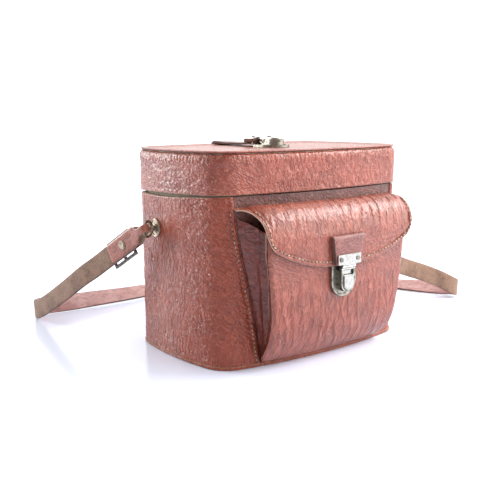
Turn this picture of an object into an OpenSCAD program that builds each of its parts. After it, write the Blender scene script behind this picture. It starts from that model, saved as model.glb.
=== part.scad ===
/* [Case] */
// Length of the case, left end to right end
case_l = 200; // [190:1:215]
// Depth of the case, front to back, without the pocket
case_d = 137; // [130:1:145]
// Height of the closed case
case_h = 160; // [150:1:175]
// Corner radius of the outline seen from above
corner_r = 22; // [18:1:26]
// How far each end bulges past its corners
end_bow = 3.4; // [1:0.2:6]
// How far the front and the back bulge past their corners
side_bow = 7.5; // [3:0.5:10]

/* [Walls] */
// Thickness of the outer leather
leather_t = 2.2; // [1.8:0.1:2.6]
// Thickness of the front panel leather, which lies deeper than the rest
panel_t = 1; // [0.8:0.1:1.4]
// Thickness of the stiffening board
board_t = 2.5; // [2:0.1:3]
// Thickness of the lining
lining_t = 0.8; // [0.6:0.1:1]
// How far the inner collar stands up into the lid
collar_rise = 7; // [4:1:10]

/* [Lid] */
// Height of the lid's lower edge at the front
lid_edge_front = 130; // [127:1:133]
// Height of the lid's lower edge at the back
lid_edge_back = 126.6; // [125:0.2:128]
// How far the lid stands out past the case wall
lid_over = 0.7; // [0.4:0.1:1.2]
// How far the border of the lid's top stands up above its middle
lid_border = 1.4; // [0.8:0.1:2]

/* [Pocket] */
// Distance from the case centre to the middle of the pocket front
pocket_out = 88.6; // [84:0.2:92]
// How far the pocket front bulges in the middle
pocket_bow = 2.5; // [1:0.5:5]
// Height of the pocket's upper edge
pocket_top = 98; // [90:1:100]
// Thickness of the pocket leather
pocket_t = 1.8; // [1.4:0.1:2.2]
// Height of the flap's lower edge in the middle
flap_low = 74.8; // [70:0.5:80]
// Thickness of the flap leather
flap_t = 2.2; // [1.8:0.1:2.4]

/* [Locks] */
// Width of a lock's back plate
lock_w = 25.4; // [24:0.2:28]
// Length of a lock's back plate
lock_l = 24; // [22:1:26]
// Width of a lock's housing
housing_w = 13.8; // [13:0.2:15]
// Travel of a lock's button
button_travel = 1.4; // [1:0.1:1.6]
// Sideways place of the pocket lock
lock_x = -2; // [-4:1:4]

/* [Shoulder strap] */
// Width of the shoulder strap
strap_w = 16; // [14:1:17]
// Thickness of the shoulder strap
strap_t = 2.4; // [2:0.1:2.6]
// Radius of a side ring to the middle of its wire
ring_r = 6; // [5.6:0.2:6.4]
// Radius of a side ring's wire
wire_r = 1.1; // [0.9:0.1:1.2]

/* [Closing strap] */
// Width of the closing strap
closing_w = 18; // [16:1:20]
// Thickness of the closing strap
closing_t = 2.8; // [2.4:0.1:3]

/* [Hidden] */

far = 400;
gap = 0.1;
panel_in = leather_t - panel_t;
lining_in = leather_t + board_t;
collar_in = lining_in + lining_t;
collar_t = 1.5;
base_t = 1.6;
base_board_t = 3;
floor_z = base_t + base_board_t + lining_t;

// The outline's four corner arcs, its two end arcs and its two long arcs
corner_x = case_l / 2 - corner_r - end_bow;
corner_y = case_d / 2 - corner_r - side_bow;
long_r = (corner_x * corner_x + side_bow * side_bow) / (2 * side_bow);
end_r = (corner_y * corner_y + end_bow * end_bow) / (2 * end_bow);
long_a = asin(corner_x / long_r);
end_a = asin(corner_y / end_r);

function arc(c, r, a0, a1, n) =
    [for (i = [0 : n - 1]) c + r * [cos(a0 + (a1 - a0) * i / n), sin(a0 + (a1 - a0) * i / n)]];
function half_outline(r, s) = concat(
    arc(s * [corner_x + end_bow - end_r, 0], end_r + r,
        -end_a + (s < 0 ? 180 : 0), end_a + (s < 0 ? 180 : 0), 6),
    arc(s * [corner_x, corner_y], r, end_a + (s < 0 ? 180 : 0), 90 - long_a + (s < 0 ? 180 : 0), 10),
    arc(s * [0, corner_y + side_bow - long_r], long_r + r,
        90 - long_a + (s < 0 ? 180 : 0), 90 + long_a + (s < 0 ? 180 : 0), 12),
    arc(s * [-corner_x, corner_y], r, 90 + long_a + (s < 0 ? 180 : 0),
        180 - end_a + (s < 0 ? 180 : 0), 10));
function outline(inset) = concat(half_outline(corner_r - inset, 1), half_outline(corner_r - inset, -1));

// Distance from the case centre plane to the front wall, at a sideways place
function front_out(x, inset) = let(r = corner_r - inset, ax = abs(x), arc_end = corner_x * (1 + r / long_r))
    ax < arc_end ? corner_y + side_bow - long_r + sqrt((long_r + r) * (long_r + r) - ax * ax)
                 : corner_y + sqrt(max(0, r * r - (ax - corner_x) * (ax - corner_x)));
function end_out(y, inset) = let(r = corner_r - inset)
    corner_x + end_bow - end_r + sqrt((end_r + r) * (end_r + r) - y * y);

module slab(inset, z0, z1) {
    translate([0, 0, z0]) linear_extrude(z1 - z0) polygon(outline(inset));
}
module band(outer, inner, z0, z1) {
    translate([0, 0, z0]) linear_extrude(z1 - z0) difference() {
        polygon(outline(outer));
        polygon(outline(inner));
    }
}
module side_profile(points) {
    rotate([90, 0, 90]) linear_extrude(far, center = true) polygon(points);
}
// Everything above the case's upper edge, which dips towards the back
module above_case() {
    side_profile([[-far, 129], [-58, 129], [-5, 125.7], [15, 125.1], [far, 125.1], [far, far], [-far, far]]);
}
// Everything below the lid's lower edge, which slopes a little
module below_lid() {
    side_profile([[-far, -far], [far, -far], [far, lid_edge_back], [case_d / 2, lid_edge_back],
                  [-case_d / 2, lid_edge_front], [-far, lid_edge_front]]);
}

// A closed sheet between two grids of points, each a list of equal rows
function grid_faces(m, n, k) = [
    for (i = [0 : m - 2]) for (j = [0 : n - 2]) let(a = i * n + j, b = a + 1, c = a + n + 1, d = a + n)
        each [[a, b, c], [a, c, d], [a + k, c + k, b + k], [a + k, d + k, c + k]]];
function rim_faces(m, n, k) = concat(
    [for (j = [0 : n - 2]) each [[j, j + k, j + 1], [j + 1, j + k, j + 1 + k]]],
    [for (j = [0 : n - 2]) let(a = (m - 1) * n + j) each [[a, a + 1, a + k], [a + 1, a + 1 + k, a + k]]],
    [for (i = [0 : m - 2]) let(a = i * n) each [[a, a + n, a + k], [a + n, a + n + k, a + k]]],
    [for (i = [0 : m - 2]) let(a = i * n + n - 1) each [[a, a + k, a + n], [a + n, a + k, a + n + k]]]);
module sheet(outer, inner) {
    m = len(outer);
    n = len(outer[0]);
    k = m * n;
    polyhedron(concat([for (row = outer) each row], [for (row = inner) each row]),
               concat(grid_faces(m, n, k), rim_faces(m, n, k)));
}

// Base
module base_leather() {
    color("saddlebrown") slab(leather_t, 0, base_t);
}
module base_welt() {
    color("sienna") band(-0.6, leather_t, 0, 2.4);
}
module base_board() {
    color("tan") slab(lining_in, base_t, base_t + base_board_t);
}
module base_lining() {
    color("dimgray") slab(collar_in, base_t + base_board_t, floor_z);
}

// Walls
window_edge = [[2.4, 61.5], [43, 67.5], [73, 74], [101, 80], [125, 82.5], [140, 84]];
function window_x(z) = lookup(z, window_edge);
window_zs = [2.4, 43, 73, 101, 125, 140];

module stud_shank_hole(side) {
    stud_place(side) rotate([90, 0, 0]) cylinder(r = 2, h = 20, center = true, $fn = 32);
}
module wall_board() {
    color("tan") difference() {
        band(leather_t, lining_in, base_t, 135);
        above_case();
        stud_shank_hole(1);
        stud_shank_hole(-1);
    }
}
module wall_leather() {
    color("firebrick") difference() {
        band(0, leather_t, 2.4, 135);
        above_case();
        translate([0, -20, 0]) rotate([90, 0, 0]) linear_extrude(100)
            polygon(concat([for (z = window_zs) [-window_x(z), z]],
                           [for (i = [0 : 5]) let(z = window_zs[5 - i]) [window_x(z), z]],
                           [[window_x(2.4), 0], [-window_x(2.4), 0]]));
        stud_shank_hole(1);
        stud_shank_hole(-1);
    }
}
module wall_lining() {
    color("dimgray") difference() {
        band(lining_in, collar_in, base_t + base_board_t, 135);
        above_case();
        stud_shank_hole(1);
        stud_shank_hole(-1);
    }
}
module front_panel() {
    color("brown") intersection() {
        band(panel_in, leather_t, 2.4, 128.8);
        translate([0, -20, 0]) rotate([90, 0, 0]) linear_extrude(100)
            polygon(concat([for (z = window_zs) [gap - window_x(z), z]],
                           [for (i = [0 : 5]) let(z = window_zs[5 - i]) [window_x(z) - gap, z]]));
    }
}
module collar() {
    color("rosybrown") band(collar_in, collar_in + collar_t, 112, 128.5 + collar_rise);
}
module strap_anchor() {
    anchor_y = case_d / 2 + gap;
    color("sienna") translate([-closing_w / 2 - 3, anchor_y, 66]) cube([closing_w + 6, 1.6, 46]);
}

// Pocket
pocket_z0 = 2.6;
pocket_rows = 15;
pocket_cols = 20;
function pocket_half(z) =
    lookup(z, [[2.6, 61], [7, 65], [14, 66.3], [40, 66.5], [70, 69.5], [85, 71], [100, 71]]);
function pocket_y(x, z) = let(
    wall = front_out(x, panel_in) + gap + pocket_t,
    full = pocket_out - pocket_bow * pow(x / 70, 2))
    -(wall + max(0, full - wall) * (1 - exp((pocket_z0 - z) / 15)));
function pocket_zs(i) = pocket_z0 + (pocket_top - pocket_z0) * pow(i / pocket_rows, 1.5);
module pocket_front() {
    outer = [for (i = [0 : pocket_rows]) let(z = pocket_zs(i))
        [for (j = [0 : pocket_cols])
            let(x = pocket_half(z) * (2 * j / pocket_cols - 1)) [x, pocket_y(x, z), z]]];
    inner = [for (row = outer) [for (p = row) p + [0, pocket_t, 0]]];
    color("indianred") sheet(inner, outer);
}
// One side of the pocket, a sheet that folds inwards and opens from a V.
// Its upper edge climbs towards the wall.
gusset_t = 1.2;
gusset_climb = 16;
function gusset_top(t) = pocket_top - 1 + gusset_climb * pow(1 - t, 1.3);
function gusset_point(z, t) = let(
    wall_x = window_x(z) - 1.5,
    edge_x = pocket_half(z) - 1,
    wall_y = -front_out(wall_x - gusset_t, panel_in) - gap,
    edge_y = pocket_y(edge_x, z) + pocket_t + gap,
    fold = 8 * (z - pocket_z0) / (pocket_top - pocket_z0))
    [wall_x + (edge_x - wall_x) * t - fold * sin(180 * t), wall_y + (edge_y - wall_y) * t, z];
module pocket_gusset(side) {
    outer = [for (i = [0 : 10])
        [for (j = [0 : 8]) gusset_point(8 + (gusset_top(j / 8) - 8) * i / 10, j / 8)]];
    inner = [for (row = outer) [for (p = row) p - [gusset_t, 0, 0]]];
    color("maroon") mirror([side < 0 ? 1 : 0, 0, 0]) sheet(outer, inner);
}

// Flap, drawn as a curve that leaves the wall, rolls over and hangs down the pocket front
hinge_y = -70;
flap_profile = [[0, 120.9], [0.12, 122.2], [0.25, 122.6], [0.4, 122.2], [0.55, 120.8], [0.7, 117.9],
                [0.82, 113.8], [0.91, 108.8], [0.97, 103.5], [1, 98]];
function flap_front(x) = 91.4 - pocket_bow * pow(x / 70, 2);
function flap_surface(x, f) = let(wall = front_out(x, panel_in) + gap)
    [x, -(wall + (flap_front(x) - wall) * f), lookup(f, flap_profile)];
function flap_inward(x, f) = let(
    a = flap_surface(x, max(0, f - 0.04)),
    b = flap_surface(x, min(1, f + 0.04)),
    d = [b[1] - a[1], b[2] - a[2]])
    [0, -d[1], d[0]] / norm(d);
function flap_share(x, y) = let(wall = front_out(x, panel_in) + gap) (y - wall) / (flap_front(x) - wall);
function flap_half(f) = lookup(f, [[0, 82], [0.4, 80.5], [1, 77]]);
function flap_edge_z(x) = flap_low + 0.00039 * pow(abs(x), 2.5);
flap_cols = 28;

module flap_root() {
    rows = 3;
    grid = [for (i = [0 : rows]) [for (j = [0 : flap_cols]) let(
        x0 = 82 * (2 * j / flap_cols - 1),
        f = flap_share(x0, -hinge_y - 0.3) * i / rows)
        [x0 * flap_half(f) / 82, f]]];
    outer = [for (row = grid) [for (g = row) flap_surface(g[0], g[1])]];
    inner = [for (row = grid) [for (g = row) flap_surface(g[0], g[1]) - [0, 0, flap_t]]];
    color("indianred") sheet(outer, inner);
}
module flap() {
    rolled = 16;
    hanging = 5;
    upper = [for (i = [0 : rolled]) [for (j = [0 : flap_cols]) let(
        x0 = 82 * (2 * j / flap_cols - 1),
        start = flap_share(x0, -hinge_y + 0.3),
        f = start + (1 - start) * i / rolled,
        x = x0 * flap_half(f) / 82)
        [flap_surface(x, f), i == 0 ? [0, 0, -1] : flap_inward(x, f)]]];
    lower = [for (i = [1 : hanging]) [for (j = [0 : flap_cols]) let(
        x = 77 * (2 * j / flap_cols - 1),
        z = 98 + (flap_edge_z(x) - 98) * i / hanging)
        [[x, -flap_front(x), z], [0, 1, 0]]]];
    grid = concat(upper, lower);
    color("indianred") sheet([for (row = grid) [for (g = row) g[0]]],
                             [for (row = grid) [for (g = row) g[0] + flap_t * g[1]]]);
}

// A tuck lock: across along X, towards the tongue along Y, outwards along Z
plate_t = 0.9;
rim_h = 1.9;
housing_y = 3.8;
housing_h = 6.4;
housing_end = 20.5;
housing_wall = 1.3;
button_w = 10.6;
button_y = 5.4;
button_l = 11.8;
button_low = plate_t + 1.6 + button_travel;
button_high = 7.6;
tongue_z = 6.8;
rivet_y = 11.3;

module u_shape(w, l) {
    intersection() {
        union() {
            translate([0, w / 2]) circle(d = w, $fn = 64);
            translate([-w / 2, w / 2]) square([w, l]);
        }
        translate([-w, 0]) square([2 * w, l]);
    }
}
module lock_plate() {
    difference() {
        union() {
            linear_extrude(plate_t) u_shape(lock_w, lock_l);
            linear_extrude(rim_h) difference() {
                u_shape(lock_w, lock_l);
                translate([0, 1.6]) u_shape(lock_w - 3.2, lock_l);
            }
        }
        translate([0, rivet_y, -1]) cylinder(r = 1.05, h = 4, $fn = 32);
    }
}
module lock_housing() {
    translate([0, housing_y, plate_t]) linear_extrude(housing_h - plate_t) difference() {
        u_shape(housing_w, housing_end - housing_y);
        translate([0, housing_wall]) u_shape(housing_w - 2 * housing_wall, housing_end);
    }
}
module lock_button() {
    translate([0, button_y, button_low]) linear_extrude(button_high - button_low - 0.6)
        u_shape(button_w, button_l);
    translate([0, button_y + 0.6, button_high - 1]) linear_extrude(1) u_shape(button_w - 1.2, button_l - 1.2);
}
module lock_rivet(depth) {
    translate([0, rivet_y, plate_t]) cylinder(r = 1.9, h = 0.7, $fn = 32);
    translate([0, rivet_y, -depth]) cylinder(r = 1, h = depth + plate_t, $fn = 32);
    translate([0, rivet_y, -depth - 0.6]) cylinder(r = 1.7, h = 0.6, $fn = 32);
}
module lock_backing(depth) {
    difference() {
        translate([-9, 3, -depth]) cube([18, 16, 0.8]);
        translate([0, rivet_y, -depth - 1]) cylinder(r = 1.05, h = 3, $fn = 32);
    }
}
// A coil spring of three turns that stands on the back plate, under the button
module lock_spring() {
    turns = 3;
    steps = 14;
    coil_r = 3.3;
    spring_wire = 0.3;
    z0 = plate_t + spring_wire + 0.02;
    rise = button_low - plate_t - 2 * spring_wire - 0.04;
    rings = [for (i = [0 : turns * steps]) let(a = 360 * i / steps, z = z0 + rise * i / (turns * steps))
        [for (q = [0 : 5]) let(r = coil_r + spring_wire * cos(60 * q))
            [r * cos(a), rivet_y + r * sin(a), z - spring_wire * sin(60 * q)]]];
    tube(rings);
}
function tube_faces(m, n) = concat(
    [for (i = [0 : m - 2]) for (j = [0 : n - 1]) let(a = i * n + j, b = i * n + (j + 1) % n)
        each [[a, a + n, b], [b, a + n, b + n]]],
    [[for (j = [0 : n - 1]) j]],
    [[for (j = [0 : n - 1]) m * n - 1 - j]]);
module tube(rings) {
    polyhedron([for (ring = rings) each ring], tube_faces(len(rings), len(rings[0])));
}
module lock_tongue() {
    plate_y = 25.6;
    plate_l = 7.6;
    plate_w = 23.6;
    neck_w = 13.6;
    difference() {
        union() {
            translate([-plate_w / 2, plate_y, tongue_z]) cube([plate_w, plate_l, 1.2]);
            rotate([90, 0, 90]) linear_extrude(neck_w, center = true)
                polygon([[20.9, 3.2], [22, 3.2], [25.6, 6.8], [25.6, 8], [24.9, 8], [20.9, 5.6]]);
            for (y = [21.6, 23.4])
                translate([0, y, 5.2 + (y - 20.9) * 0.6]) rotate([0, 90, 0])
                    cylinder(r = 0.9, h = neck_w, center = true, $fn = 24);
            translate([-5.1, 17.5, 3.2]) cube([10.2, 3.5, 1.6]);
        }
        for (x = [-8.6, 8.6])
            translate([x, plate_y + plate_l / 2, 0]) cylinder(r = 1.05, h = 20, $fn = 32);
    }
}
module tongue_rivets(depth) {
    for (x = [-8.6, 8.6]) {
        translate([x, 29.4, tongue_z + 1.2]) cylinder(r = 1.7, h = 0.6, $fn = 32);
        translate([x, 29.4, tongue_z - depth]) cylinder(r = 1, h = depth + 1.2, $fn = 32);
    }
}
module at_pocket_lock() {
    translate([lock_x, -pocket_out - gap, 50.5]) rotate([90, 0, 0]) children();
}
module at_lid_lock() {
    translate([0, -18, case_h + gap]) children();
}

module pocket_lock_plate() {
    color("silver") at_pocket_lock() lock_plate();
}
module pocket_lock_housing() {
    color("gainsboro") at_pocket_lock() lock_housing();
}
module pocket_lock_spring() {
    color("gray") at_pocket_lock() lock_spring();
}
pocket_grip = 3.6;
module pocket_lock_backing() {
    color("gray") at_pocket_lock() lock_backing(pocket_grip);
}
module pocket_lock_rivet() {
    color("gray") at_pocket_lock() lock_rivet(pocket_grip);
}
module pocket_lock_button() {
    color("whitesmoke") at_pocket_lock() lock_button();
}
// The tab that carries the tongue is wider at its top than at its foot
module flap_tab() {
    color("sienna") difference() {
        intersection() {
            rotate([90, 0, 90]) linear_extrude(60, center = true)
                polygon([[-91.5, 76], [-91.5, 98], [-94.6, 98], [-95.5, 96], [-95.5, 76]]);
            rotate([90, 0, 0]) linear_extrude(far)
                polygon([[lock_x - 12.5, 75], [lock_x + 12, 75],
                    [lock_x + 18.5, 98.5], [lock_x - 15.5, 98.5]]);
        }
        at_pocket_lock() for (x = [-8.6, 8.6]) translate([x, 29.4, 0]) cylinder(r = 1.05, h = 20, $fn = 32);
    }
}
module flap_tongue() {
    color("silver") at_pocket_lock() lock_tongue();
}
module flap_tongue_rivets() {
    color("gray") at_pocket_lock() tongue_rivets(3.4);
}

// Lid
rim_top = case_h - 0.6;
board_top = case_h - 1.8;
lid_in = leather_t - lid_over;
lid_board_in = lid_in + board_t;
lid_roof = 154.4;
module lid_bore(r) {
    at_lid_lock() translate([0, rivet_y, -20]) cylinder(r = r, h = 20, $fn = 32);
}
module lid_board() {
    color("tan") difference() {
        union() {
            slab(lid_in, lid_roof, board_top);
            band(lid_in, 4.4, board_top - 0.1, rim_top);
        }
        lid_bore(1.05);
    }
}
// The top leather overhangs a groove; its border stands up, and is pressed flat under the closing strap
module lid_top_leather() {
    color("firebrick") difference() {
        union() {
            slab(-0.1, case_h + 0.2, case_h + lid_border);
            slab(4.4, board_top, case_h + 0.3);
        }
        hull() {
            slab(3, case_h + lid_border, case_h + lid_border + 1);
            slab(9, case_h, case_h + 1);
        }
        translate([-closing_w / 2 - 1.5, 50, case_h + 0.6]) cube([closing_w + 3, 50, 10]);
        lid_bore(1.05);
    }
}
module lid_rim_board() {
    color("tan") difference() {
        band(lid_in, lid_board_in, 120, lid_roof);
        below_lid();
    }
}
module lid_rim_leather() {
    color("firebrick") difference() {
        band(-lid_over, lid_in, 120, rim_top);
        below_lid();
    }
}
module lid_lining() {
    color("dimgray") difference() {
        union() {
            band(lid_board_in, lid_board_in + 0.6, 120, lid_roof);
            slab(lid_board_in, lid_roof - 0.6, lid_roof);
        }
        below_lid();
        lid_bore(1.05);
    }
}
module lid_hinge_leaf() {
    color("brown") intersection() {
        band(lid_board_in + 0.6, lid_board_in + 1.1, lid_edge_front + 0.5, 148);
        translate([-55, -far / 2, 0]) cube([110, far / 2, far]);
    }
}
module lid_lock_plate() {
    color("silver") at_lid_lock() lock_plate();
}
module lid_lock_housing() {
    color("gainsboro") at_lid_lock() lock_housing();
}
module lid_lock_spring() {
    color("gray") at_lid_lock() lock_spring();
}
lid_grip = case_h + gap - lid_roof + 0.6 + 0.8;
module lid_lock_backing() {
    color("gray") at_lid_lock() lock_backing(lid_grip);
}
module lid_lock_rivet() {
    color("gray") at_lid_lock() lock_rivet(lid_grip);
}
module lid_lock_button() {
    color("whitesmoke") at_lid_lock() lock_button();
}

// Closing strap: from its foot on the back wall, over the lid's back edge, to the lock
strap_back = case_d / 2 + gap + 1.6 + gap;
strap_top = case_h + gap + 0.8;
bend_r = 3;
module closing_strap_lower() {
    color("sienna") difference() {
        rotate([90, 0, 90]) linear_extrude(closing_w, center = true) union() {
            translate([strap_back, 86]) square([closing_t, strap_top - bend_r - 86]);
            translate([strap_back - bend_r, strap_top - bend_r]) intersection() {
                difference() {
                    circle(r = bend_r + closing_t, $fn = 48);
                    circle(r = bend_r, $fn = 48);
                }
                square(20);
            }
        }
        anchor_bores();
    }
}
module anchor_bores() {
    for (z = [92, 104])
        translate([0, strap_back - 1.5, z]) rotate([-90, 0, 0]) cylinder(r = 1.05, h = 20, $fn = 32);
}
module closing_strap_rivets() {
    color("darkgoldenrod") for (z = [92, 104]) translate([0, strap_back, z]) rotate([-90, 0, 0]) {
        cylinder(r = 1, h = closing_t, $fn = 32);
        translate([0, 0, closing_t]) cylinder(r = 3.2, h = 0.9, $fn = 32);
    }
}
module closing_strap() {
    strap_y0 = 7.8;
    strap_y1 = strap_back - bend_r - 0.4;
    color("sienna") translate([-closing_w / 2, strap_y0, strap_top]) difference() {
        cube([closing_w, strap_y1 - strap_y0, closing_t]);
        for (x = [-8.6, 8.6])
            translate([x + closing_w / 2, -18 + 29.4 - strap_y0, -1]) cylinder(r = 1.05, h = 20, $fn = 32);
    }
}
module closing_strap_end() {
    end_w = 24;
    color("saddlebrown") difference() {
        translate([-end_w / 2, 7.8, strap_top + closing_t]) cube([end_w, 12.4, tongue_z - closing_t - 0.8]);
        at_lid_lock() for (x = [-8.6, 8.6]) translate([x, 29.4, 0]) cylinder(r = 1.05, h = 20, $fn = 32);
    }
}
module closing_tongue() {
    color("silver") at_lid_lock() lock_tongue();
}
module closing_tongue_rivets() {
    color("gray") at_lid_lock() tongue_rivets(5.6);
}

// Side fittings: a stud in each end wall, a ring through its eye
stud_y = 19.4;
stud_z = 99.5;
stud_turn = asin(stud_y / (end_r + corner_r));
eye_out = 3.8;
ring_turn = 25.5;
module stud_place(side) {
    mirror([side < 0 ? 1 : 0, 0, 0]) translate([end_out(stud_y, 0), stud_y, stud_z])
        rotate([0, 0, stud_turn - 90]) children();
}
// In a stud's own place Y points out of the wall and Z points up
module stud(side) {
    color("darkgoldenrod") stud_place(side) difference() {
        union() {
            translate([0, 0.9, 0]) rotate([-90, 0, 0]) cylinder(r = 3.4, h = 1, $fn = 48);
            translate([0, eye_out, 0]) intersection() {
                sphere(r = 3.3, $fn = 48);
                cube([8, 8, 4.4], center = true);
            }
            translate([0, -6.6, 0]) rotate([-90, 0, 0]) cylinder(r = 1.9, h = 8, $fn = 32);
        }
        translate([0, eye_out, 0]) cylinder(r = 1.6, h = 20, center = true, $fn = 32);
    }
}
module stud_washer(side) {
    color("goldenrod") stud_place(side) rotate([-90, 0, 0]) difference() {
        union() {
            translate([0, 0, 0.15]) cylinder(r = 7.3, h = 0.75, $fn = 64);
            translate([0, 0, 0.15]) rotate_extrude($fn = 64) translate([6.7, 0.75]) circle(r = 0.6, $fn = 24);
        }
        translate([0, 0, -1]) cylinder(r = 1.95, h = 4, $fn = 32);
    }
}
module stud_backing(side) {
    color("gray") stud_place(side) translate([0, -6.7, 0]) rotate([-90, 0, 0]) difference() {
        cylinder(r = 5, h = 0.8, $fn = 48);
        translate([0, 0, -1]) cylinder(r = 1.95, h = 4, $fn = 32);
    }
}
function eye_centre() =
    [end_out(stud_y, 0) + eye_out * cos(stud_turn), stud_y + eye_out * sin(stud_turn), stud_z];
module ring(side) {
    color("darkkhaki") mirror([side < 0 ? 1 : 0, 0, 0]) translate(eye_centre()) rotate([0, 0, -ring_turn])
        translate([ring_r, 0, 0]) rotate([90, 0, 0])
            rotate_extrude($fn = 64) translate([ring_r, 0]) circle(r = wire_r, $fn = 24);
}

// Strap ends: X along the strap, away from the ring, Z across it, Y on the side that shows
chape_l = 45;
leaf_t = 1.6;
drop_left = 2;
drop_right = 50;
function ring_point(drop) = eye_centre() + [
    (ring_r + ring_r * cos(drop)) * cos(-ring_turn),
    (ring_r + ring_r * cos(drop)) * sin(-ring_turn),
    -ring_r * sin(drop)];
left_heading = 101;
left_pitch = 31;
right_heading = -ring_turn;
right_pitch = 50;
module strap_place(side) {
    p = ring_point(side < 0 ? drop_left : drop_right);
    translate([side * p[0], p[1], p[2]])
        rotate(side < 0 ? [0, left_pitch, left_heading] : [0, right_pitch, right_heading])
            mirror([0, side < 0 ? 0 : 1, 0]) children();
}
// The leather end doubles round the ring; its two leaves hold the strap between them
chape_outline = concat(
    [for (a = [90 : 15 : 270]) [-1 + 4.3 * cos(a), -0.7 + 4.3 * sin(a)]],
    [[4, -4.6], [13, -2.9], [34, -2.9], [34, -1.3], [13, -1.3], [4, -3.1]],
    [for (a = [270 : -15 : 90]) [-1 + 2.75 * cos(a), -0.7 + 2.75 * sin(a)]],
    [[4, 2], [13, 1.3], [chape_l, 1.3], [chape_l, 2.9], [13, 2.9], [4, 3.5]]);
module chape(side) {
    neck = 2.8;
    half = 7.6;
    color("indianred") strap_place(side) difference() {
        intersection() {
            linear_extrude(far, center = true) polygon(chape_outline);
            rotate([90, 0, 0]) linear_extrude(far, center = true)
                polygon([[-8, -neck], [4.5, -neck], [10, -half], [chape_l, -half],
                         [chape_l, half], [10, half], [4.5, neck], [-8, neck]]);
        }
        rotate([90, 0, 0]) translate([26, 0, 0]) cylinder(r = 1.55, h = 20, center = true, $fn = 32);
    }
}
module chape_rivet(side) {
    color("darkkhaki") strap_place(side) rotate([-90, 0, 0]) {
        translate([26, 0, -2.9]) cylinder(r = 1.5, h = 5.8, $fn = 32);
        translate([26, 0, 2.9]) cylinder(r = 3.6, h = 0.6, $fn = 48);
        translate([26, 0, 3.4]) cylinder(r = 2.6, h = 0.5, $fn = 48);
    }
}
frame_x = 21;
frame_l = 30;
frame_half = 11;
module buckle_frame(side) {
    color("dimgray") strap_place(side) translate([frame_x, -4.9, -frame_half]) difference() {
        cube([frame_l, 1.8, 2 * frame_half]);
        translate([2, -1, 2.2]) cube([12, 4, 2 * frame_half - 4.4]);
        translate([16, -1, 2.2]) cube([12, 4, 2 * frame_half - 4.4]);
    }
}
module buckle_prong(side) {
    color("dimgray") strap_place(side) {
        difference() {
            translate([frame_x + 15, -4, -1.3]) cylinder(r = 2.1, h = 2.6, $fn = 32);
            translate([frame_x + 14, -4.9, -2]) cube([2, 1.8, 4]);
            translate([frame_x + 8, -3.05, -2]) cube([14, 4, 4]);
        }
        translate([frame_x + 2, -6.5, -0.9]) cube([12, 1.4, 1.8]);
    }
}

// Shoulder strap: middle of its width, and how far it leans back from upright, in degrees
strap_route = [
    [-139, 167, 10.4, 0], [-138, 176, 9, 4], [-131, 182, 8.7, 10], [-118, 184, 8.4, 20],
    [-98, 184, 7.7, 33], [-70, 184, 7.3, 44], [-40, 185, 6.6, 53], [-8, 188, 5.8, 60],
    [30, 191, 5.2, 66], [68, 190, 4.6, 70], [104, 182, 4.6, 70], [136, 167, 4.6, 70],
    [162, 146, 4.6, 70], [184, 118, 4.6, 70], [201, 85, 4.6, 70], [213, 52, 4.8, 68],
    [221, 28, 5.7, 60], [228, 8, 7.2, 45], [235, -6, 8.6, 22], [237, -14, 9.4, 6],
    [232, -19, 10.8, 0], [224, -18, 14.5, 0], [210, -13, 22, 0], [192, -8, 29.5, 0],
    [174, -4.6, 35.8, 0], [159, -3, 41.5, 0], [149, -1.6, 47.8, 0]];
strap_entry = 13;
function turned(v, pitch, heading) = let(
    x = v[0] * cos(pitch) + v[2] * sin(pitch),
    z = -v[0] * sin(pitch) + v[2] * cos(pitch))
    [x * cos(heading) - v[1] * sin(heading), x * sin(heading) + v[1] * cos(heading), z];
function left_run(d) = let(p = ring_point(drop_left)) [-p[0], p[1], p[2]]
    + turned([d, 0, 0], left_pitch, left_heading);
function right_run(d) = ring_point(drop_right) + turned([d, 0, 0], right_pitch, right_heading);
function with_lean(p, lean) = [p[0], p[1], p[2], lean];
strap_points = concat(
    [for (d = [strap_entry, 32, 51, 70]) with_lean(left_run(d), 0)],
    [[-130, 92, 52, 0], [-134, 120, 35, 0], [-137, 147, 20, 0]],
    strap_route,
    [for (d = [50, 42, 34, 24, strap_entry]) with_lean(right_run(d), 0)]);
function spline(p, i, t) = let(
    n = len(p),
    a = p[max(0, i - 1)], b = p[i], c = p[min(n - 1, i + 1)], d = p[min(n - 1, i + 2)])
    0.5 * (2 * b + (c - a) * t + (2 * a - 5 * b + 4 * c - d) * t * t + (3 * b - a - 3 * c + d) * t * t * t);
strap_path = concat(
    [for (i = [0 : len(strap_points) - 2]) each [spline(strap_points, i, 0), spline(strap_points, i, 0.5)]],
    [strap_points[len(strap_points) - 1]]);
function across(forward, lean) = let(
    f = forward / norm(forward),
    left = [-f[1], f[0], 0] / norm([f[0], f[1]]),
    up = cross(f, left))
    up * cos(lean) + left * sin(lean);
function strap_ring(i) = let(
    n = len(strap_path),
    q = strap_path[i],
    p = [q[0], q[1], q[2]],
    e = strap_path[min(n - 1, i + 1)] - strap_path[max(0, i - 1)],
    f = [e[0], e[1], e[2]] / norm([e[0], e[1], e[2]]),
    w = across(f, q[3]) * strap_w / 2,
    h = cross(w / norm(w), f) * strap_t / 2)
    [p + w + h, p + w - h, p - w - h, p - w + h];
module shoulder_strap() {
    color("rosybrown") tube([for (i = [0 : len(strap_path) - 1]) strap_ring(i)]);
}

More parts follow.
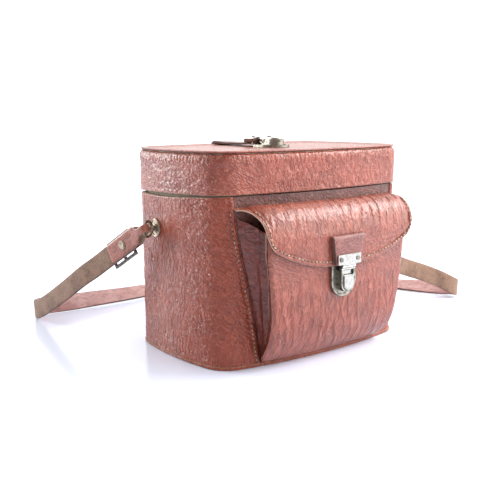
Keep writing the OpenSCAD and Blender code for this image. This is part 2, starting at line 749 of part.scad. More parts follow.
base_leather();
base_welt();
base_board();
base_lining();
wall_board();
wall_leather();
wall_lining();
front_panel();
collar();
strap_anchor();
pocket_front();
pocket_gusset(-1);  // pocket_gusset_left
pocket_gusset(1);  // pocket_gusset_right
flap_root();
pocket_lock_plate();
pocket_lock_housing();
pocket_lock_spring();
pocket_lock_backing();
pocket_lock_rivet();
pocket_lock_button();
flap();
flap_tab();
flap_tongue();
flap_tongue_rivets();
lid_board();
lid_top_leather();
lid_rim_board();
lid_rim_leather();
lid_lining();
lid_hinge_leaf();
lid_lock_plate();
lid_lock_housing();
lid_lock_spring();
lid_lock_backing();
lid_lock_rivet();
lid_lock_button();
closing_strap_lower();
closing_strap_rivets();
closing_strap();
closing_strap_end();
closing_tongue();
closing_tongue_rivets();
stud(-1);  // stud_left
stud(1);  // stud_right
stud_washer(-1);  // stud_washer_left
stud_washer(1);  // stud_washer_right
stud_backing(-1);  // stud_backing_left
stud_backing(1);  // stud_backing_right
ring(-1);  // ring_left
ring(1);  // ring_right
chape(-1);  // chape_left
chape(1);  // chape_right
chape_rivet(-1);  // chape_rivet_left
chape_rivet(1);  // chape_rivet_right
buckle_frame(-1);  // buckle_frame_left
buckle_frame(1);  // buckle_frame_right
buckle_prong(-1);  // buckle_prong_left
buckle_prong(1);  // buckle_prong_right
shoulder_strap();
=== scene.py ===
"""Looks for a leather carrying case: camera, light, leather, cloth, stitching and metal round its frame."""
import itertools
import math

import bpy
import numpy as np
from mathutils import Matrix, Vector


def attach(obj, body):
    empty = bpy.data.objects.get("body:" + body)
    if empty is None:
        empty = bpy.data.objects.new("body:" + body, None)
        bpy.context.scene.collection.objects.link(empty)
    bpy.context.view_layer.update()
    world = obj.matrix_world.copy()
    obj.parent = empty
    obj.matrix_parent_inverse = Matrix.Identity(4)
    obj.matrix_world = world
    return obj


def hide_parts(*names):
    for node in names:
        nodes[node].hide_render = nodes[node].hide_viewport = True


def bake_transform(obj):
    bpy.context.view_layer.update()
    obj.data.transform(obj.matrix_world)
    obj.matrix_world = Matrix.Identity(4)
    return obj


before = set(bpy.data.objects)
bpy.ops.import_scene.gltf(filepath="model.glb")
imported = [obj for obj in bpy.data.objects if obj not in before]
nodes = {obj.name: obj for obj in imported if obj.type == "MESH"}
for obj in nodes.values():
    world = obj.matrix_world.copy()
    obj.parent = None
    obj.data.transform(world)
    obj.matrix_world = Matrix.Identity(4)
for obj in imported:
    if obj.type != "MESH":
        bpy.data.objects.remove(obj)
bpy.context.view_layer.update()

MM = 0.001  # sizes below are in millimetres, and become metres when a mesh is made
SIDES = {-1: "left", 1: "right"}

# Sizes of the case, as in the CAD source
CASE_L, CASE_D, CASE_H = 200, 137, 160
CORNER_R, END_BOW, SIDE_BOW = 22, 3.4, 7.5
LEATHER_T, PANEL_T, BOARD_T, LINING_T = 2.2, 1.0, 2.5, 0.8
PANEL_IN = LEATHER_T - PANEL_T
COLLAR_IN = LEATHER_T + BOARD_T + LINING_T
LID_OVER = 0.7
LID_BOARD_IN = LEATHER_T - LID_OVER + BOARD_T
WALL_FOOT, PANEL_TOP = 2.4, 128.8
LID_FRONT, LID_BACK = 130, 126.6
LID_ROOF = 153.9
RIM_TOP = CASE_H - 0.7
POCKET_OUT, POCKET_BOW, POCKET_FOOT, POCKET_TOP, POCKET_T = 88.6, 2.5, 2.6, 98, 1.8
FLAP_OUT, FLAP_LOW, FLAP_HALF, FLAP_T = 91.4, 74.8, 77, 1.8
LOCK_X = -2
STRAP_W, STRAP_T, STRAP_STEP = 16, 2.4, 3.0
RING_R = 6
STITCH, STITCH_SHARE = 3.4, 0.68

# Centres and radii of the outline's arcs, without the corner radius
CORNER_X = CASE_L / 2 - CORNER_R - END_BOW
CORNER_Y = CASE_D / 2 - CORNER_R - SIDE_BOW
LONG_R = (CORNER_X**2 + SIDE_BOW**2) / (2 * SIDE_BOW)
END_R = (CORNER_Y**2 + END_BOW**2) / (2 * END_BOW)
LONG_MID = CORNER_Y + SIDE_BOW - LONG_R
END_MID = CORNER_X + END_BOW - END_R


# ---- camera
def make_camera():
    """The photograph's viewpoint: a little above the lid, in front and to the left."""
    data = bpy.data.cameras.new("camera")
    data.sensor_width = 36
    data.lens = 55.07
    data.clip_start, data.clip_end = 0.05, 20
    azimuth, pitch, roll = math.radians(37.95), math.radians(10.11), math.radians(0.27)
    level = math.cos(pitch)
    ahead = Vector((math.sin(azimuth) * level, math.cos(azimuth) * level, -math.sin(pitch)))
    turn = ahead.to_track_quat("-Z", "Y").to_matrix().to_4x4() @ Matrix.Rotation(-roll, 4, "Z")
    camera = bpy.data.objects.new("camera", data)
    camera.rotation_mode = "QUATERNION"
    camera.rotation_quaternion = turn.to_quaternion()
    camera.location = (-0.4061, -0.4933, 0.1871)
    bpy.context.scene.collection.objects.link(camera)
    bpy.context.scene.camera = camera


# ---- shapes
def dense_outline():
    """Points, normals and lengths round the outline, from the middle of the back past the left end."""
    quarter = math.pi / 2
    long_a, end_a = math.asin(CORNER_X / LONG_R), math.asin(CORNER_Y / END_R)
    arcs = [
        ((0, LONG_MID), LONG_R, quarter, quarter + long_a),
        ((-CORNER_X, CORNER_Y), 0, quarter + long_a, 2 * quarter - end_a),
        ((-END_MID, 0), END_R, 2 * quarter - end_a, 2 * quarter + end_a),
        ((-CORNER_X, -CORNER_Y), 0, 2 * quarter + end_a, 3 * quarter - long_a),
        ((0, -LONG_MID), LONG_R, 3 * quarter - long_a, 3 * quarter + long_a),
        ((CORNER_X, -CORNER_Y), 0, 3 * quarter + long_a, 4 * quarter - end_a),
        ((END_MID, 0), END_R, -end_a, end_a),
        ((CORNER_X, CORNER_Y), 0, end_a, quarter - long_a),
        ((0, LONG_MID), LONG_R, quarter - long_a, quarter),
    ]
    points, normals = [], []
    for centre, radius, first, last in arcs:
        angles = np.linspace(first, last, 160)[:-1]
        normals.append(stacked(np.cos(angles), np.sin(angles)))
        points.append(np.array(centre) + (radius + CORNER_R) * normals[-1])
    points, normals = (np.concatenate([*part, part[0][:1]]) for part in (points, normals))
    return points, normals, lengths_along(points)


def stacked(*parts):
    """Numbers or arrays side by side, as the coordinates of points."""
    return np.stack(np.broadcast_arrays(*parts), -1)


def lengths_along(points):
    """How far along a line each of its points is."""
    return np.concatenate([[0], np.cumsum(np.linalg.norm(np.diff(points, axis=0), axis=1))])


def places_at(lengths, walked, points):
    """A line's places at these lengths, where walked says how far along each of its points is."""
    return stacked(*(np.interp(lengths, walked, column) for column in points.T))


def evenly(points, count):
    """A line as count evenly spaced places, and how far along each is."""
    points = np.array(points, float)
    walked = lengths_along(points)
    even = np.linspace(0, walked[-1], count)
    return places_at(even, walked, points), even


def curve_through(points, step):
    """A smooth curve through the points, as closely spaced points."""
    p = np.array(points, float)
    p = np.vstack([p[:1], p, p[-1:]])
    t = np.arange(0, 1, step)[:, None]
    fine = [0.5 * (2 * b + (c - a) * t + (2 * a - 5 * b + 4 * c - d) * t**2 + (3 * b - a - 3 * c + d) * t**3)
            for a, b, c, d in zip(p, p[1:], p[2:], p[3:])]
    return np.vstack(fine + [p[-1:]])


def grid(rows, columns, left=0.0):
    """Shares up a grid, from 0 to 1, and across it, from left to 1."""
    return np.meshgrid(np.linspace(0, 1, rows), np.linspace(left, 1, columns), indexing="ij")


OUT_P, OUT_N, OUT_S = dense_outline()
GIRTH = OUT_S[-1]


def round_case(s, inset):
    """x and y on the outline at length s, moved inwards by inset."""
    s = np.mod(s, GIRTH)
    x, y, nx, ny = (np.interp(s, OUT_S, column) for column in (*OUT_P.T, *OUT_N.T))
    return x - nx * inset, y - ny * inset


def front_out(x, inset):
    """Distance from the middle plane to the front wall, at a sideways place."""
    r = CORNER_R - inset
    x = np.abs(x)
    on_arc = LONG_MID + np.sqrt(np.maximum((LONG_R + r) ** 2 - x**2, 0))
    on_corner = CORNER_Y + np.sqrt(np.maximum(r * r - (x - CORNER_X) ** 2, 0))
    return np.where(x < CORNER_X * (1 + r / LONG_R), on_arc, on_corner)


def case_top(y):
    """Height of the case's upper edge."""
    return np.interp(y, [-80, -58, -5, 15, 80], [129, 129, 125.7, 125.1, 125.1])


def lid_bottom(y):
    """Height of the lid's lower edge."""
    return np.interp(y, [-CASE_D / 2, CASE_D / 2], [LID_FRONT, LID_BACK])


def window_x(z):
    """Half width of the front panel's window."""
    return np.interp(z, [2.4, 43, 73, 101, 125, 140], [61.5, 67.5, 74, 80, 82.5, 84])


def pocket_half(z):
    """Half width of the pocket's front."""
    return np.interp(z, [2.6, 7, 14, 40, 70, 85, 100], [61, 65, 66.3, 66.5, 69.5, 71, 71])


def pocket_y(x, z):
    """The pocket's front face, which leaves the wall at its foot."""
    wall = front_out(x, PANEL_IN) + 0.1 + POCKET_T
    full = POCKET_OUT - POCKET_BOW * (x / 70) ** 2
    return -(wall + np.maximum(0, full - wall) * (1 - np.exp((POCKET_FOOT - z) / 15)))


def smooth(t):
    """A smooth step from 0 to 1."""
    t = np.clip(t, 0, 1)
    return t * t * (3 - 2 * t)


def bell(x, middle, width):
    """A smooth bump of height 1."""
    return np.exp(-(((x - middle) / width) ** 2))


def wavy(points, scale, seed=0.0, stretch=(1, 1, 1)):
    """Smooth noise from -1 to 1 at each point of a grid; scale is the size of its lumps in millimetres."""
    p = np.asarray(points, float) * np.array(stretch) / scale + seed * np.array((1.7, -2.3, 3.1)) + 50.5
    cell = np.floor(p).astype(np.int64)
    part = p - cell
    fade = part**3 * (part * (part * 6 - 15) + 10)
    total = np.zeros(p.shape[:-1])
    for corner in itertools.product((0, 1), repeat=3):
        at = cell + np.array(corner)
        mix = (at[..., 0] * 73856093) ^ (at[..., 1] * 19349663) ^ (at[..., 2] * 83492791)
        mix = ((mix ^ (mix >> 13)) * 1274126177) & 0xFFFFFFFF
        turn = (mix & 0xFFFF) / 0xFFFF * 2 * math.pi
        high = (mix >> 16) / 0xFFFF * 2 - 1
        flat = np.sqrt(np.maximum(0, 1 - high**2))
        away = part - np.array(corner)
        slope = flat * np.cos(turn) * away[..., 0] + flat * np.sin(turn) * away[..., 1] + high * away[..., 2]
        total += slope * np.prod(np.where(np.array(corner) == 1, fade, 1 - fade), axis=-1)
    return np.clip(total * 1.75, -1, 1)


def ridges(points, scale, seed, stretch, sharp):
    """Thin raised lines from 0 to 1 along the places where smooth noise changes sign."""
    return np.exp(-sharp * np.abs(wavy(points, scale, seed, stretch)) * 2)


def flat_points(grain):
    """Places on the flat hide as points with a third coordinate of zero."""
    return stacked(grain[..., 0], grain[..., 1], 0)


def hide_relief(grain, slant, seed, lean=0.6, long_mm=15.0, gap_mm=3.6):
    """How far each point of a shrunken hide stands proud.

    Long wrinkles run up the hide, about gap_mm apart; where slant is 1 they are short, and lean."""
    flat = flat_points(grain)
    flat = flat + stacked(2.6 * wavy(flat, 15, seed), 2.2 * wavy(flat, 12, seed + 4), 0)
    along = flat[..., 0] * math.cos(lean) + flat[..., 1] * math.sin(lean)
    aside = flat[..., 1] * math.cos(lean) - flat[..., 0] * math.sin(lean)
    leaning = stacked(along, aside, 0)
    upright = np.maximum(ridges(flat, gap_mm, seed + 1, (1, gap_mm / long_mm, 1), 2.4),
                         0.75 * ridges(flat, gap_mm * 0.62, seed + 2, (1, 0.24, 1), 2.2))
    short = np.maximum(ridges(leaning, 4.4, seed + 3, (0.45, 1, 1), 2.6),
                       0.45 * ridges(flat, 3.4, seed + 5, (1, 1, 1), 2.6))
    line = upright * (1 - slant) + short * slant
    line = line * (0.5 + 0.5 * smooth(wavy(flat, 8, seed + 6) + 0.5))
    return 0.5 * line + 0.18 * wavy(flat, 2.2, seed + 7) + 0.2 * wavy(flat, 9, seed + 8) - 0.26


def grid_normals(points):
    """Unit normals of a grid of points."""
    normals = np.cross(np.gradient(points, axis=1), np.gradient(points, axis=0))
    return normals / np.maximum(np.linalg.norm(normals, axis=2, keepdims=True), 1e-9)


# ---- meshes
def make_object(name, vertices, faces, materials, face_material=None):
    """A smooth mesh object from millimetre coordinates and four-sided faces."""
    mesh = bpy.data.meshes.new(name)
    faces = np.asarray(faces, dtype=np.int32)
    mesh.vertices.add(len(vertices))
    mesh.vertices.foreach_set("co", (np.asarray(vertices, float) * MM).astype(np.float32).ravel())
    mesh.loops.add(faces.size)
    mesh.loops.foreach_set("vertex_index", faces.ravel())
    mesh.polygons.add(len(faces))
    mesh.polygons.foreach_set("loop_start", np.arange(0, faces.size, 4, dtype=np.int32))
    for material in materials:
        mesh.materials.append(material)
    if face_material is not None:
        mesh.polygons.foreach_set("material_index", np.asarray(face_material, dtype=np.int32))
    mesh.polygons.foreach_set("use_smooth", np.ones(len(faces), dtype=bool))
    mesh.update(calc_edges=True)
    mesh.validate()
    obj = bpy.data.objects.new(name, mesh)
    bpy.context.scene.collection.objects.link(obj)
    return obj


def quads(first, second, reverse=False):
    """Four-sided faces between two rows of vertex numbers."""
    rows = (first[:-1], first[1:], second[1:], second[:-1])
    return np.stack(rows[::-1] if reverse else rows, 1)


def set_grain(obj, places):
    """Gives each vertex its place on the flat hide, for the materials."""
    attribute = obj.data.attributes.new("grain", "FLOAT_VECTOR", "POINT")
    attribute.data.foreach_set("vector", (places * MM).astype(np.float32).ravel())


def leather_sheet(name, surface, thickness, materials, away_from, grain, rise, slant=0.0, ring=False,
                  rim_out=0.22, inward=False):
    """A closed sheet of leather or cloth over a grid of points, with a rounded cut edge.

    materials are those of its face, its back and its cut edge; away_from is a point behind its face, or
    before it if the sheet is turned inward; grain gives each point's place on the flat hide, rise how far
    its face stands proud there, and slant how far its wrinkles lean. A ring has no cut edge where it meets
    itself, at its first and last columns."""
    rows, columns = surface.shape[:2]
    count = rows * columns
    normal = grid_normals(surface)
    turned = (np.mean(np.sum(normal * (surface - np.array(away_from, float)), axis=2)) < 0) != inward
    if turned:
        normal = -normal
    face = (surface + normal * rise[..., None]).reshape(-1, 3)
    back = (surface - normal * (np.zeros((rows, columns, 1)) + thickness)).reshape(-1, 3)
    index = np.arange(count).reshape(rows, columns)
    vertices, sources = [face, back], [np.arange(count), np.arange(count)]
    sheet = np.concatenate([quads(index[i], index[i + 1], turned) for i in range(rows - 1)])
    faces, kinds = [sheet, sheet[:, ::-1] + count], [np.zeros(len(sheet)), np.ones(len(sheet))]
    borders = [(index[0], index[1], True), (index[-1], index[-2], False)]
    if not ring:
        borders += [(index[:, 0], index[:, 1], False), (index[:, -1], index[:, -2], True)]
    total = 2 * count
    for edge, beside, reverse in borders:
        out = face[edge] - face[beside]
        out /= np.maximum(np.linalg.norm(out, axis=1, keepdims=True), 1e-9)
        deep = np.linalg.norm(face[edge] - back[edge], axis=1, keepdims=True)
        loops = [edge]
        for share, push in ((0.15, 0.8), (0.5, 1.0), (0.85, 0.8)):
            vertices.append(face[edge] * (1 - share) + back[edge] * share + out * deep * rim_out * push)
            loops.append(np.arange(total, total + len(edge)))
            sources.append(edge)
            total += len(edge)
        loops.append(edge + count)
        for upper, lower in zip(loops[:-1], loops[1:]):
            faces.append(quads(upper, lower, reverse != turned))
            kinds.append(np.full(len(edge) - 1, 2))
    obj = make_object(name, np.concatenate(vertices), np.concatenate(faces), materials, np.concatenate(kinds))
    source = np.concatenate(sources)
    set_grain(obj, flat_points(grain.reshape(-1, 2))[source])
    leaning = (np.zeros((rows, columns)) + slant).reshape(-1)[source]
    obj.data.attributes.new("slant", "FLOAT", "POINT").data.foreach_set("value", leaning.astype(np.float32))
    return obj


def settle(piece, body, slot, *stands_for):
    """Says which body a piece rides on, and the CAD nodes that it stands for; slot, its material slot, is not
    used.
    """
    if stands_for:
        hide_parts(*stands_for)
    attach(piece, body)


# ---- shader nodes
class Nodes:
    """Shader nodes in one tree. A value that is a socket is linked, and any other is set on the input."""

    def __init__(self, tree):
        self.tree = tree
        tree.nodes.clear()

    def fill(self, node, values):
        """Sets or links the inputs that values names."""
        for key, value in values.items():
            if isinstance(value, bpy.types.NodeSocket):
                self.tree.links.new(value, node.inputs[key])
            else:
                node.inputs[key].default_value = value

    def add(self, kind, values, **settings):
        """Makes a node, and gives back its outputs."""
        node = self.tree.nodes.new("ShaderNode" + kind)
        for key, value in settings.items():
            setattr(node, key, value)
        self.fill(node, values)
        return node.outputs

    def maths(self, operation, a, b=0.0):
        return self.add("Math", {0: a, 1: b}, operation=operation)[0]

    def vectors(self, operation, values):
        return self.add("VectorMath", values, operation=operation)[0]

    def noise(self, place, scale, detail, roughness=0.5):
        """A noise texture's outputs."""
        values = {"Vector": place, "Scale": scale, "Detail": detail, "Roughness": roughness}
        return self.add("TexNoise", values)

    def remap(self, value, low, high, to_low=0.0, to_high=1.0):
        """A smooth step that is to_low where value is low, and to_high where it is high."""
        values = {"Value": value, "From Min": low, "From Max": high, "To Min": to_low, "To Max": to_high}
        return self.add("MapRange", values, interpolation_type="SMOOTHSTEP")["Result"]

    def mixed(self, factor, a, b):
        """A colour between a and b, each a socket or three numbers."""
        a, b = (c if isinstance(c, bpy.types.NodeSocket) else (*c, 1) for c in (a, b))
        return self.add("Mix", {"Factor": factor, 6: a, 7: b}, data_type="RGBA")[2]

    def scaled(self, place, across, along, deep=None, turn=(0, 0, 0)):
        """A place measured in steps of these sizes in millimetres."""
        scale = (per(across), per(along), per(deep) if deep else 1)
        return self.add("Mapping", {"Vector": place, "Scale": scale, "Rotation": turn})[0]

    def bump(self, height, strength, distance, **normal):
        values = {"Height": height, "Strength": strength, "Distance": distance * MM}
        return self.add("Bump", {**values, **normal})[0]


class Material(Nodes):
    """The nodes of a material with one principled shader."""

    def __init__(self, name):
        self.material = bpy.data.materials.new(name)
        self.material.use_nodes = True
        super().__init__(self.material.node_tree)
        self.shader = self.tree.nodes.new("ShaderNodeBsdfPrincipled")
        self.add("OutputMaterial", {"Surface": self.shader.outputs[0]})

    def grain(self):
        """Place on the flat hide or cloth."""
        return self.add("Attribute", {}, attribute_name="grain")["Vector"]

    def solid(self):
        """Place in the object."""
        return self.add("TexCoord", {})["Object"]

    def finish(self, values):
        """Sets the shader's inputs and gives back the material."""
        self.fill(self.shader, values)
        return self.material


def per(size):
    """How many of a size in millimetres fit in a metre."""
    return 1 / (size * MM)


def times(colour, share):
    """A darker or paler colour."""
    return tuple(part * share for part in colour)


# ---- materials
def leather(name, dark, base, pale, rough=0.33, coat=0.15, bump=0.8, wide_mm=2.5, long_mm=12.0, wear_and_highlight=0.38):
    """Grained hide: wrinkles that run up it or lean, mottling, pores and a soft gloss, with painted shade in
    the hollows and the fine pits, and painted highlights on the ridges, whose amount is the last argument.
    """
    look = Material(name)
    place = look.grain()
    slant = look.add("Attribute", {}, attribute_name="slant")["Fac"]
    drift = look.noise(place, per(7), 2.0)["Color"]
    away = look.vectors("SUBTRACT", {0: drift, 1: (0.5, 0.5, 0.5)})
    shift = look.vectors("SCALE", {0: away, "Scale": 5 * MM})
    bent = look.vectors("ADD", {0: place, 1: shift})

    def turned(turn, across, along):
        return look.scaled(look.add("Mapping", {"Vector": bent, "Rotation": (0, 0, turn)})[0], across, along)

    def bumps(turn, across, along):
        values = {"Vector": turned(turn, across, along), "Scale": 1.0, "Smoothness": 0.35}
        cells = look.add("TexVoronoi", values, feature="SMOOTH_F1", voronoi_dimensions="2D")["Distance"]
        return look.remap(cells, 0.1, 0.62, 1.0, 0.0)

    def lines(turn, across, along, width):
        field = look.noise(turned(turn, across, along), 1.0, 1.0)["Fac"]
        middle = look.maths("ABSOLUTE", look.maths("SUBTRACT", field, 0.5))
        return look.remap(middle, 0.0, width, 1.0, 0.0)

    def higher(first, second, share):
        return look.maths("MAXIMUM", first, look.maths("MULTIPLY", second, share))

    upright = higher(lines(0.05, wide_mm * 1.25, long_mm, 0.07), bumps(0.0, wide_mm, long_mm * 0.8), 0.62)
    upright = higher(upright, lines(-0.08, wide_mm * 2.4, long_mm * 1.7, 0.035), 0.9)
    leaning = higher(lines(-0.95, 2.7, 6.0, 0.07), bumps(-1.05, 2.0, 4.6), 0.62)
    ridge = look.add("Mix", {"Factor": slant, 2: upright, 3: leaning}, data_type="FLOAT")[0]
    patch = look.noise(place, per(24), 5.0, 0.6)["Fac"]
    fine = look.noise(bent, per(1.1), 3.0, 0.6)["Fac"]
    colour = look.mixed(look.remap(patch, 0.3, 0.66), times(dark, 0.9), times(base, 1.04))
    # painted shade: darker in the hollows between the ridges
    colour = look.mixed(look.remap(ridge, 0.0, 0.45, 0.42, 0.0), colour, times(dark, 0.5))
    # painted highlight: paler on the ridges, where they catch the light
    colour = look.mixed(look.remap(ridge, 0.5, 1.0, 0.0, wear_and_highlight), colour, pale)
    # painted shade: darker in the low pits of the fine bump
    colour = look.mixed(look.remap(fine, 0.35, 0.5, 0.2, 0.0), colour, dark)
    return look.finish({
        "Base Color": colour,
        "Roughness": look.remap(patch, 0.3, 0.7, rough - 0.05, rough + 0.07),
        "Coat Weight": coat,
        "Coat Roughness": 0.16,
        "Specular IOR Level": 0.42,
        "Normal": look.bump(fine, 0.3, 0.5, Normal=look.bump(ridge, bump, 0.7)),
    })


def suede(name, dark, base, pale, hair=0.7):
    """The flesh side or the cut edge of leather: short fibres, rubbed darker and paler in patches."""
    look = Material(name)
    patch = look.noise(look.grain(), per(16), 5.0, 0.62)["Fac"]
    nap = look.noise(look.solid(), per(hair), 3.0)["Fac"]
    colour = look.mixed(look.remap(patch, 0.32, 0.62), dark, base)
    return look.finish({
        "Base Color": look.mixed(look.remap(nap, 0.42, 0.72, 0.0, 0.75), colour, pale),
        "Roughness": 0.85,
        "Specular IOR Level": 0.25,
        "Sheen Weight": 0.25,
        "Normal": look.bump(nap, 0.5, 0.3),
    })


def woven(name, dark, base):
    """Plain woven lining cloth."""
    look = Material(name)
    place = look.grain()
    parts = look.add("SeparateXYZ", {"Vector": place})
    waves = [look.maths("SINE", look.maths("MULTIPLY", parts[i], math.pi * per(0.55))) for i in (0, 1)]
    weave = look.maths("MULTIPLY", *waves)
    patch = look.noise(place, per(20), 4.0)["Fac"]
    colour = look.mixed(look.remap(weave, -1.0, 1.0), dark, base)
    return look.finish({
        "Base Color": look.mixed(look.remap(patch, 0.35, 0.7, 0.0, 0.4), colour, dark),
        "Roughness": 0.9,
        "Sheen Weight": 0.2,
        "Normal": look.bump(weave, 0.4, 0.15),
    })


def fibre_board(name, dark, base):
    """Pressed card: flecks and faint layers."""
    look = Material(name)
    solid = look.solid()
    layers = look.noise(look.scaled(solid, 9, 9, 1.2), 1.0, 5.0)["Fac"]
    fleck = look.noise(solid, per(0.8), 2.0)["Fac"]
    colour = look.mixed(look.remap(layers, 0.3, 0.7), dark, base)
    return look.finish({
        "Base Color": look.mixed(look.remap(fleck, 0.55, 0.75, 0.0, 0.5), colour, dark),
        "Roughness": 0.85,
        "Normal": look.bump(fleck, 0.35, 0.2),
    })


def metal(name, base, dull, rough, spots, scratch=0.35):
    """Plated metal, a little worn: duller patches, pits and hairline scratches."""
    look = Material(name)
    solid = look.solid()
    wear_and_highlight = look.remap(look.noise(solid, per(3.2), 5.0, 0.65)["Fac"], 0.42, 0.68, 0.0, spots)
    pit = look.noise(solid, per(0.45), 2.0)["Fac"]
    hair = look.noise(look.scaled(solid, 0.2, 6, 6, (0.2, 0.5, 0.3)), 1.0, 2.0)["Fac"]
    rise = look.maths("ADD", look.maths("MULTIPLY", hair, 0.3), look.maths("MULTIPLY", pit, 0.3))
    return look.finish({
        "Base Color": look.mixed(wear_and_highlight, base, dull),
        "Metallic": 1.0,
        "Roughness": look.maths("ADD", look.maths("MULTIPLY", wear_and_highlight, 0.35),
                                look.remap(hair, 0.5, 0.8, rough, rough + 0.25 * scratch)),
        "Normal": look.bump(rise, scratch, 0.06),
    })


def thread(name, dark, base):
    """Waxed linen thread with a twist."""
    look = Material(name)
    solid = look.solid()
    twist = look.add("TexWave", {"Vector": solid, "Scale": per(2.2), "Distortion": 2.0})["Fac"]
    soil = look.noise(solid, per(7), 3.0)["Fac"]
    return look.finish({
        "Base Color": look.mixed(look.remap(soil, 0.35, 0.65), dark, base),
        "Roughness": 0.6,
        "Normal": look.bump(twist, 0.5, 0.1),
    })


def pale_floor(name):
    """A glossy white table, with a faint reflection of the case."""
    look = Material(name)
    cloud = look.noise(look.solid(), 3.0, 2.0)["Fac"]
    return look.finish({
        "Base Color": (0.78, 0.83, 0.97, 1),
        "Roughness": look.remap(cloud, 0.3, 0.7, 0.155, 0.18),
        "Specular IOR Level": 0.3,
    })


HIDE = leather("hide", (0.275, 0.044, 0.017), (0.31, 0.053, 0.021), (0.44, 0.12, 0.065), coat=0.2, bump=0.95)
HIDE_LID = leather("hide_lid", (0.265, 0.05, 0.024), (0.335, 0.074, 0.042), (0.48, 0.17, 0.12),
                   rough=0.36, coat=0.28, wide_mm=2.6, long_mm=9.0)
HIDE_FRONT = leather("hide_front", (0.265, 0.056, 0.031), (0.33, 0.079, 0.046), (0.48, 0.18, 0.12),
                     rough=0.4, coat=0.42, bump=0.9, wide_mm=3.0, long_mm=14.0, wear_and_highlight=0.26)
HIDE_TOP = leather("hide_top", (0.29, 0.088, 0.064), (0.36, 0.13, 0.1), (0.48, 0.24, 0.2),
                   rough=0.42, coat=0.3)
# A darker copy of the hide for the pocket's gussets and the hinge, which sit in recesses: painted shade.
HIDE_SHADED = leather("hide_inner", (0.135, 0.022, 0.012), (0.21, 0.037, 0.022), (0.37, 0.11, 0.075),
                     coat=0.35)
# The front panel's greyer hide, darkened further: painted shade under the lid.
HIDE_PANEL_SHADED = leather("hide_panel", (0.115, 0.034, 0.025), (0.175, 0.06, 0.046), (0.34, 0.17, 0.14),
                     rough=0.42, coat=0.2)
HIDE_DARK = leather("hide_dark", (0.055, 0.011, 0.01), (0.11, 0.024, 0.02), (0.24, 0.08, 0.06),
                    rough=0.36, coat=0.3, bump=0.3, wear_and_highlight=0.2)
HIDE_TAB = leather("hide_tab", (0.2, 0.06, 0.048), (0.28, 0.1, 0.083), (0.42, 0.21, 0.18),
                   rough=0.42, bump=0.35)
HIDE_STRAP = leather("hide_strap", (0.26, 0.075, 0.045), (0.36, 0.115, 0.075), (0.5, 0.24, 0.17),
                     rough=0.36, bump=0.15, wear_and_highlight=0.2)
# The strap's grain side: its own colour paled to pink-white, painted sheen of the light from above.
PINK_GRAIN_SHEEN = leather("pink_grain_sheen", (0.42, 0.21, 0.19), (0.5, 0.3, 0.275), (0.62, 0.42, 0.39),
                     rough=0.5, bump=0.12, wear_and_highlight=0.2)
FLESH = suede("flesh", (0.20, 0.12, 0.08), (0.34, 0.22, 0.15), (0.46, 0.33, 0.24))
STRAP_SUEDE = suede("strap_suede", (0.13, 0.062, 0.036), (0.25, 0.14, 0.088), (0.38, 0.26, 0.18))
CUT_EDGE = suede("cut_edge", (0.16, 0.06, 0.035), (0.30, 0.14, 0.085), (0.5, 0.32, 0.22), hair=0.6)
PALE_EDGE = suede("pale_edge", (0.36, 0.19, 0.12), (0.6, 0.4, 0.28), (0.75, 0.6, 0.48), hair=0.5)
DARK_EDGE = suede("dark_edge", (0.06, 0.025, 0.02), (0.13, 0.055, 0.04), (0.2, 0.1, 0.07), hair=0.4)
LINING = woven("lining", (0.028, 0.016, 0.014), (0.075, 0.045, 0.04))
BOARD = fibre_board("fibre_board", (0.2, 0.15, 0.1), (0.37, 0.3, 0.22))
CARD = fibre_board("card", (0.46, 0.38, 0.28), (0.66, 0.56, 0.43))
NICKEL = metal("nickel", (0.34, 0.32, 0.27), (0.09, 0.08, 0.055), rough=0.3, spots=0.85)
NICKEL_BRIGHT = metal("nickel_bright", (0.42, 0.41, 0.38), (0.17, 0.155, 0.125),
                      rough=0.27, spots=0.4, scratch=0.12)
BRASS = metal("aged_brass", (0.42, 0.35, 0.27), (0.18, 0.14, 0.1), rough=0.36, spots=0.9)
STEEL = metal("dark_steel", (0.24, 0.21, 0.18), (0.06, 0.045, 0.035), rough=0.35, spots=0.8)
THREAD = thread("thread", (0.3, 0.17, 0.105), (0.62, 0.46, 0.33))
# A near-black patch in each pricked hole: painted shade of the hole.
HOLE_SHADE = suede("stitch_hole_shade", (0.02, 0.01, 0.008), (0.04, 0.018, 0.014), (0.06, 0.03, 0.02))


# ---- shoulder strap
# The eye on each side stud, and how far each ring drops and each strap end turns and points down
EYE_Y, EYE_Z, EYE_OUT, RING_TURN = 19.4, 99.5, 3.8, math.radians(25.5)
DROPS = {-1: math.radians(2), 1: math.radians(50)}
HEADINGS = {-1: math.radians(101), 1: -RING_TURN}
PITCHES = {-1: math.radians(31), 1: math.radians(50)}

# Middle of the strap's width, and how far it leans back from upright in degrees
STRAP_ROUTE = [
    (-130, 92, 52, 0), (-134, 120, 35, 0), (-137, 147, 20, 0),
    (-139, 167, 10.4, 0), (-138, 176, 9, 4), (-131, 182, 8.7, 10), (-118, 184, 8.4, 20),
    (-98, 184, 7.7, 33), (-70, 184, 7.3, 44), (-40, 185, 6.6, 53), (-8, 188, 5.8, 60),
    (30, 191, 5.2, 66), (68, 190, 4.6, 70), (104, 182, 4.6, 70), (136, 167, 4.6, 70),
    (162, 146, 4.6, 70), (184, 118, 4.6, 70), (201, 85, 4.6, 70), (213, 52, 4.8, 68),
    (221, 28, 5.7, 60), (228, 8, 7.2, 45), (235, -6, 8.6, 22), (237, -14, 9.4, 6),
    (232, -19, 10.8, 0), (224, -18, 14.5, 0), (210, -13, 22, 0), (192, -8, 29.5, 0),
    (174, -4.6, 35.8, 0), (159, -3, 41.5, 0), (149, -1.6, 47.8, 0),
]


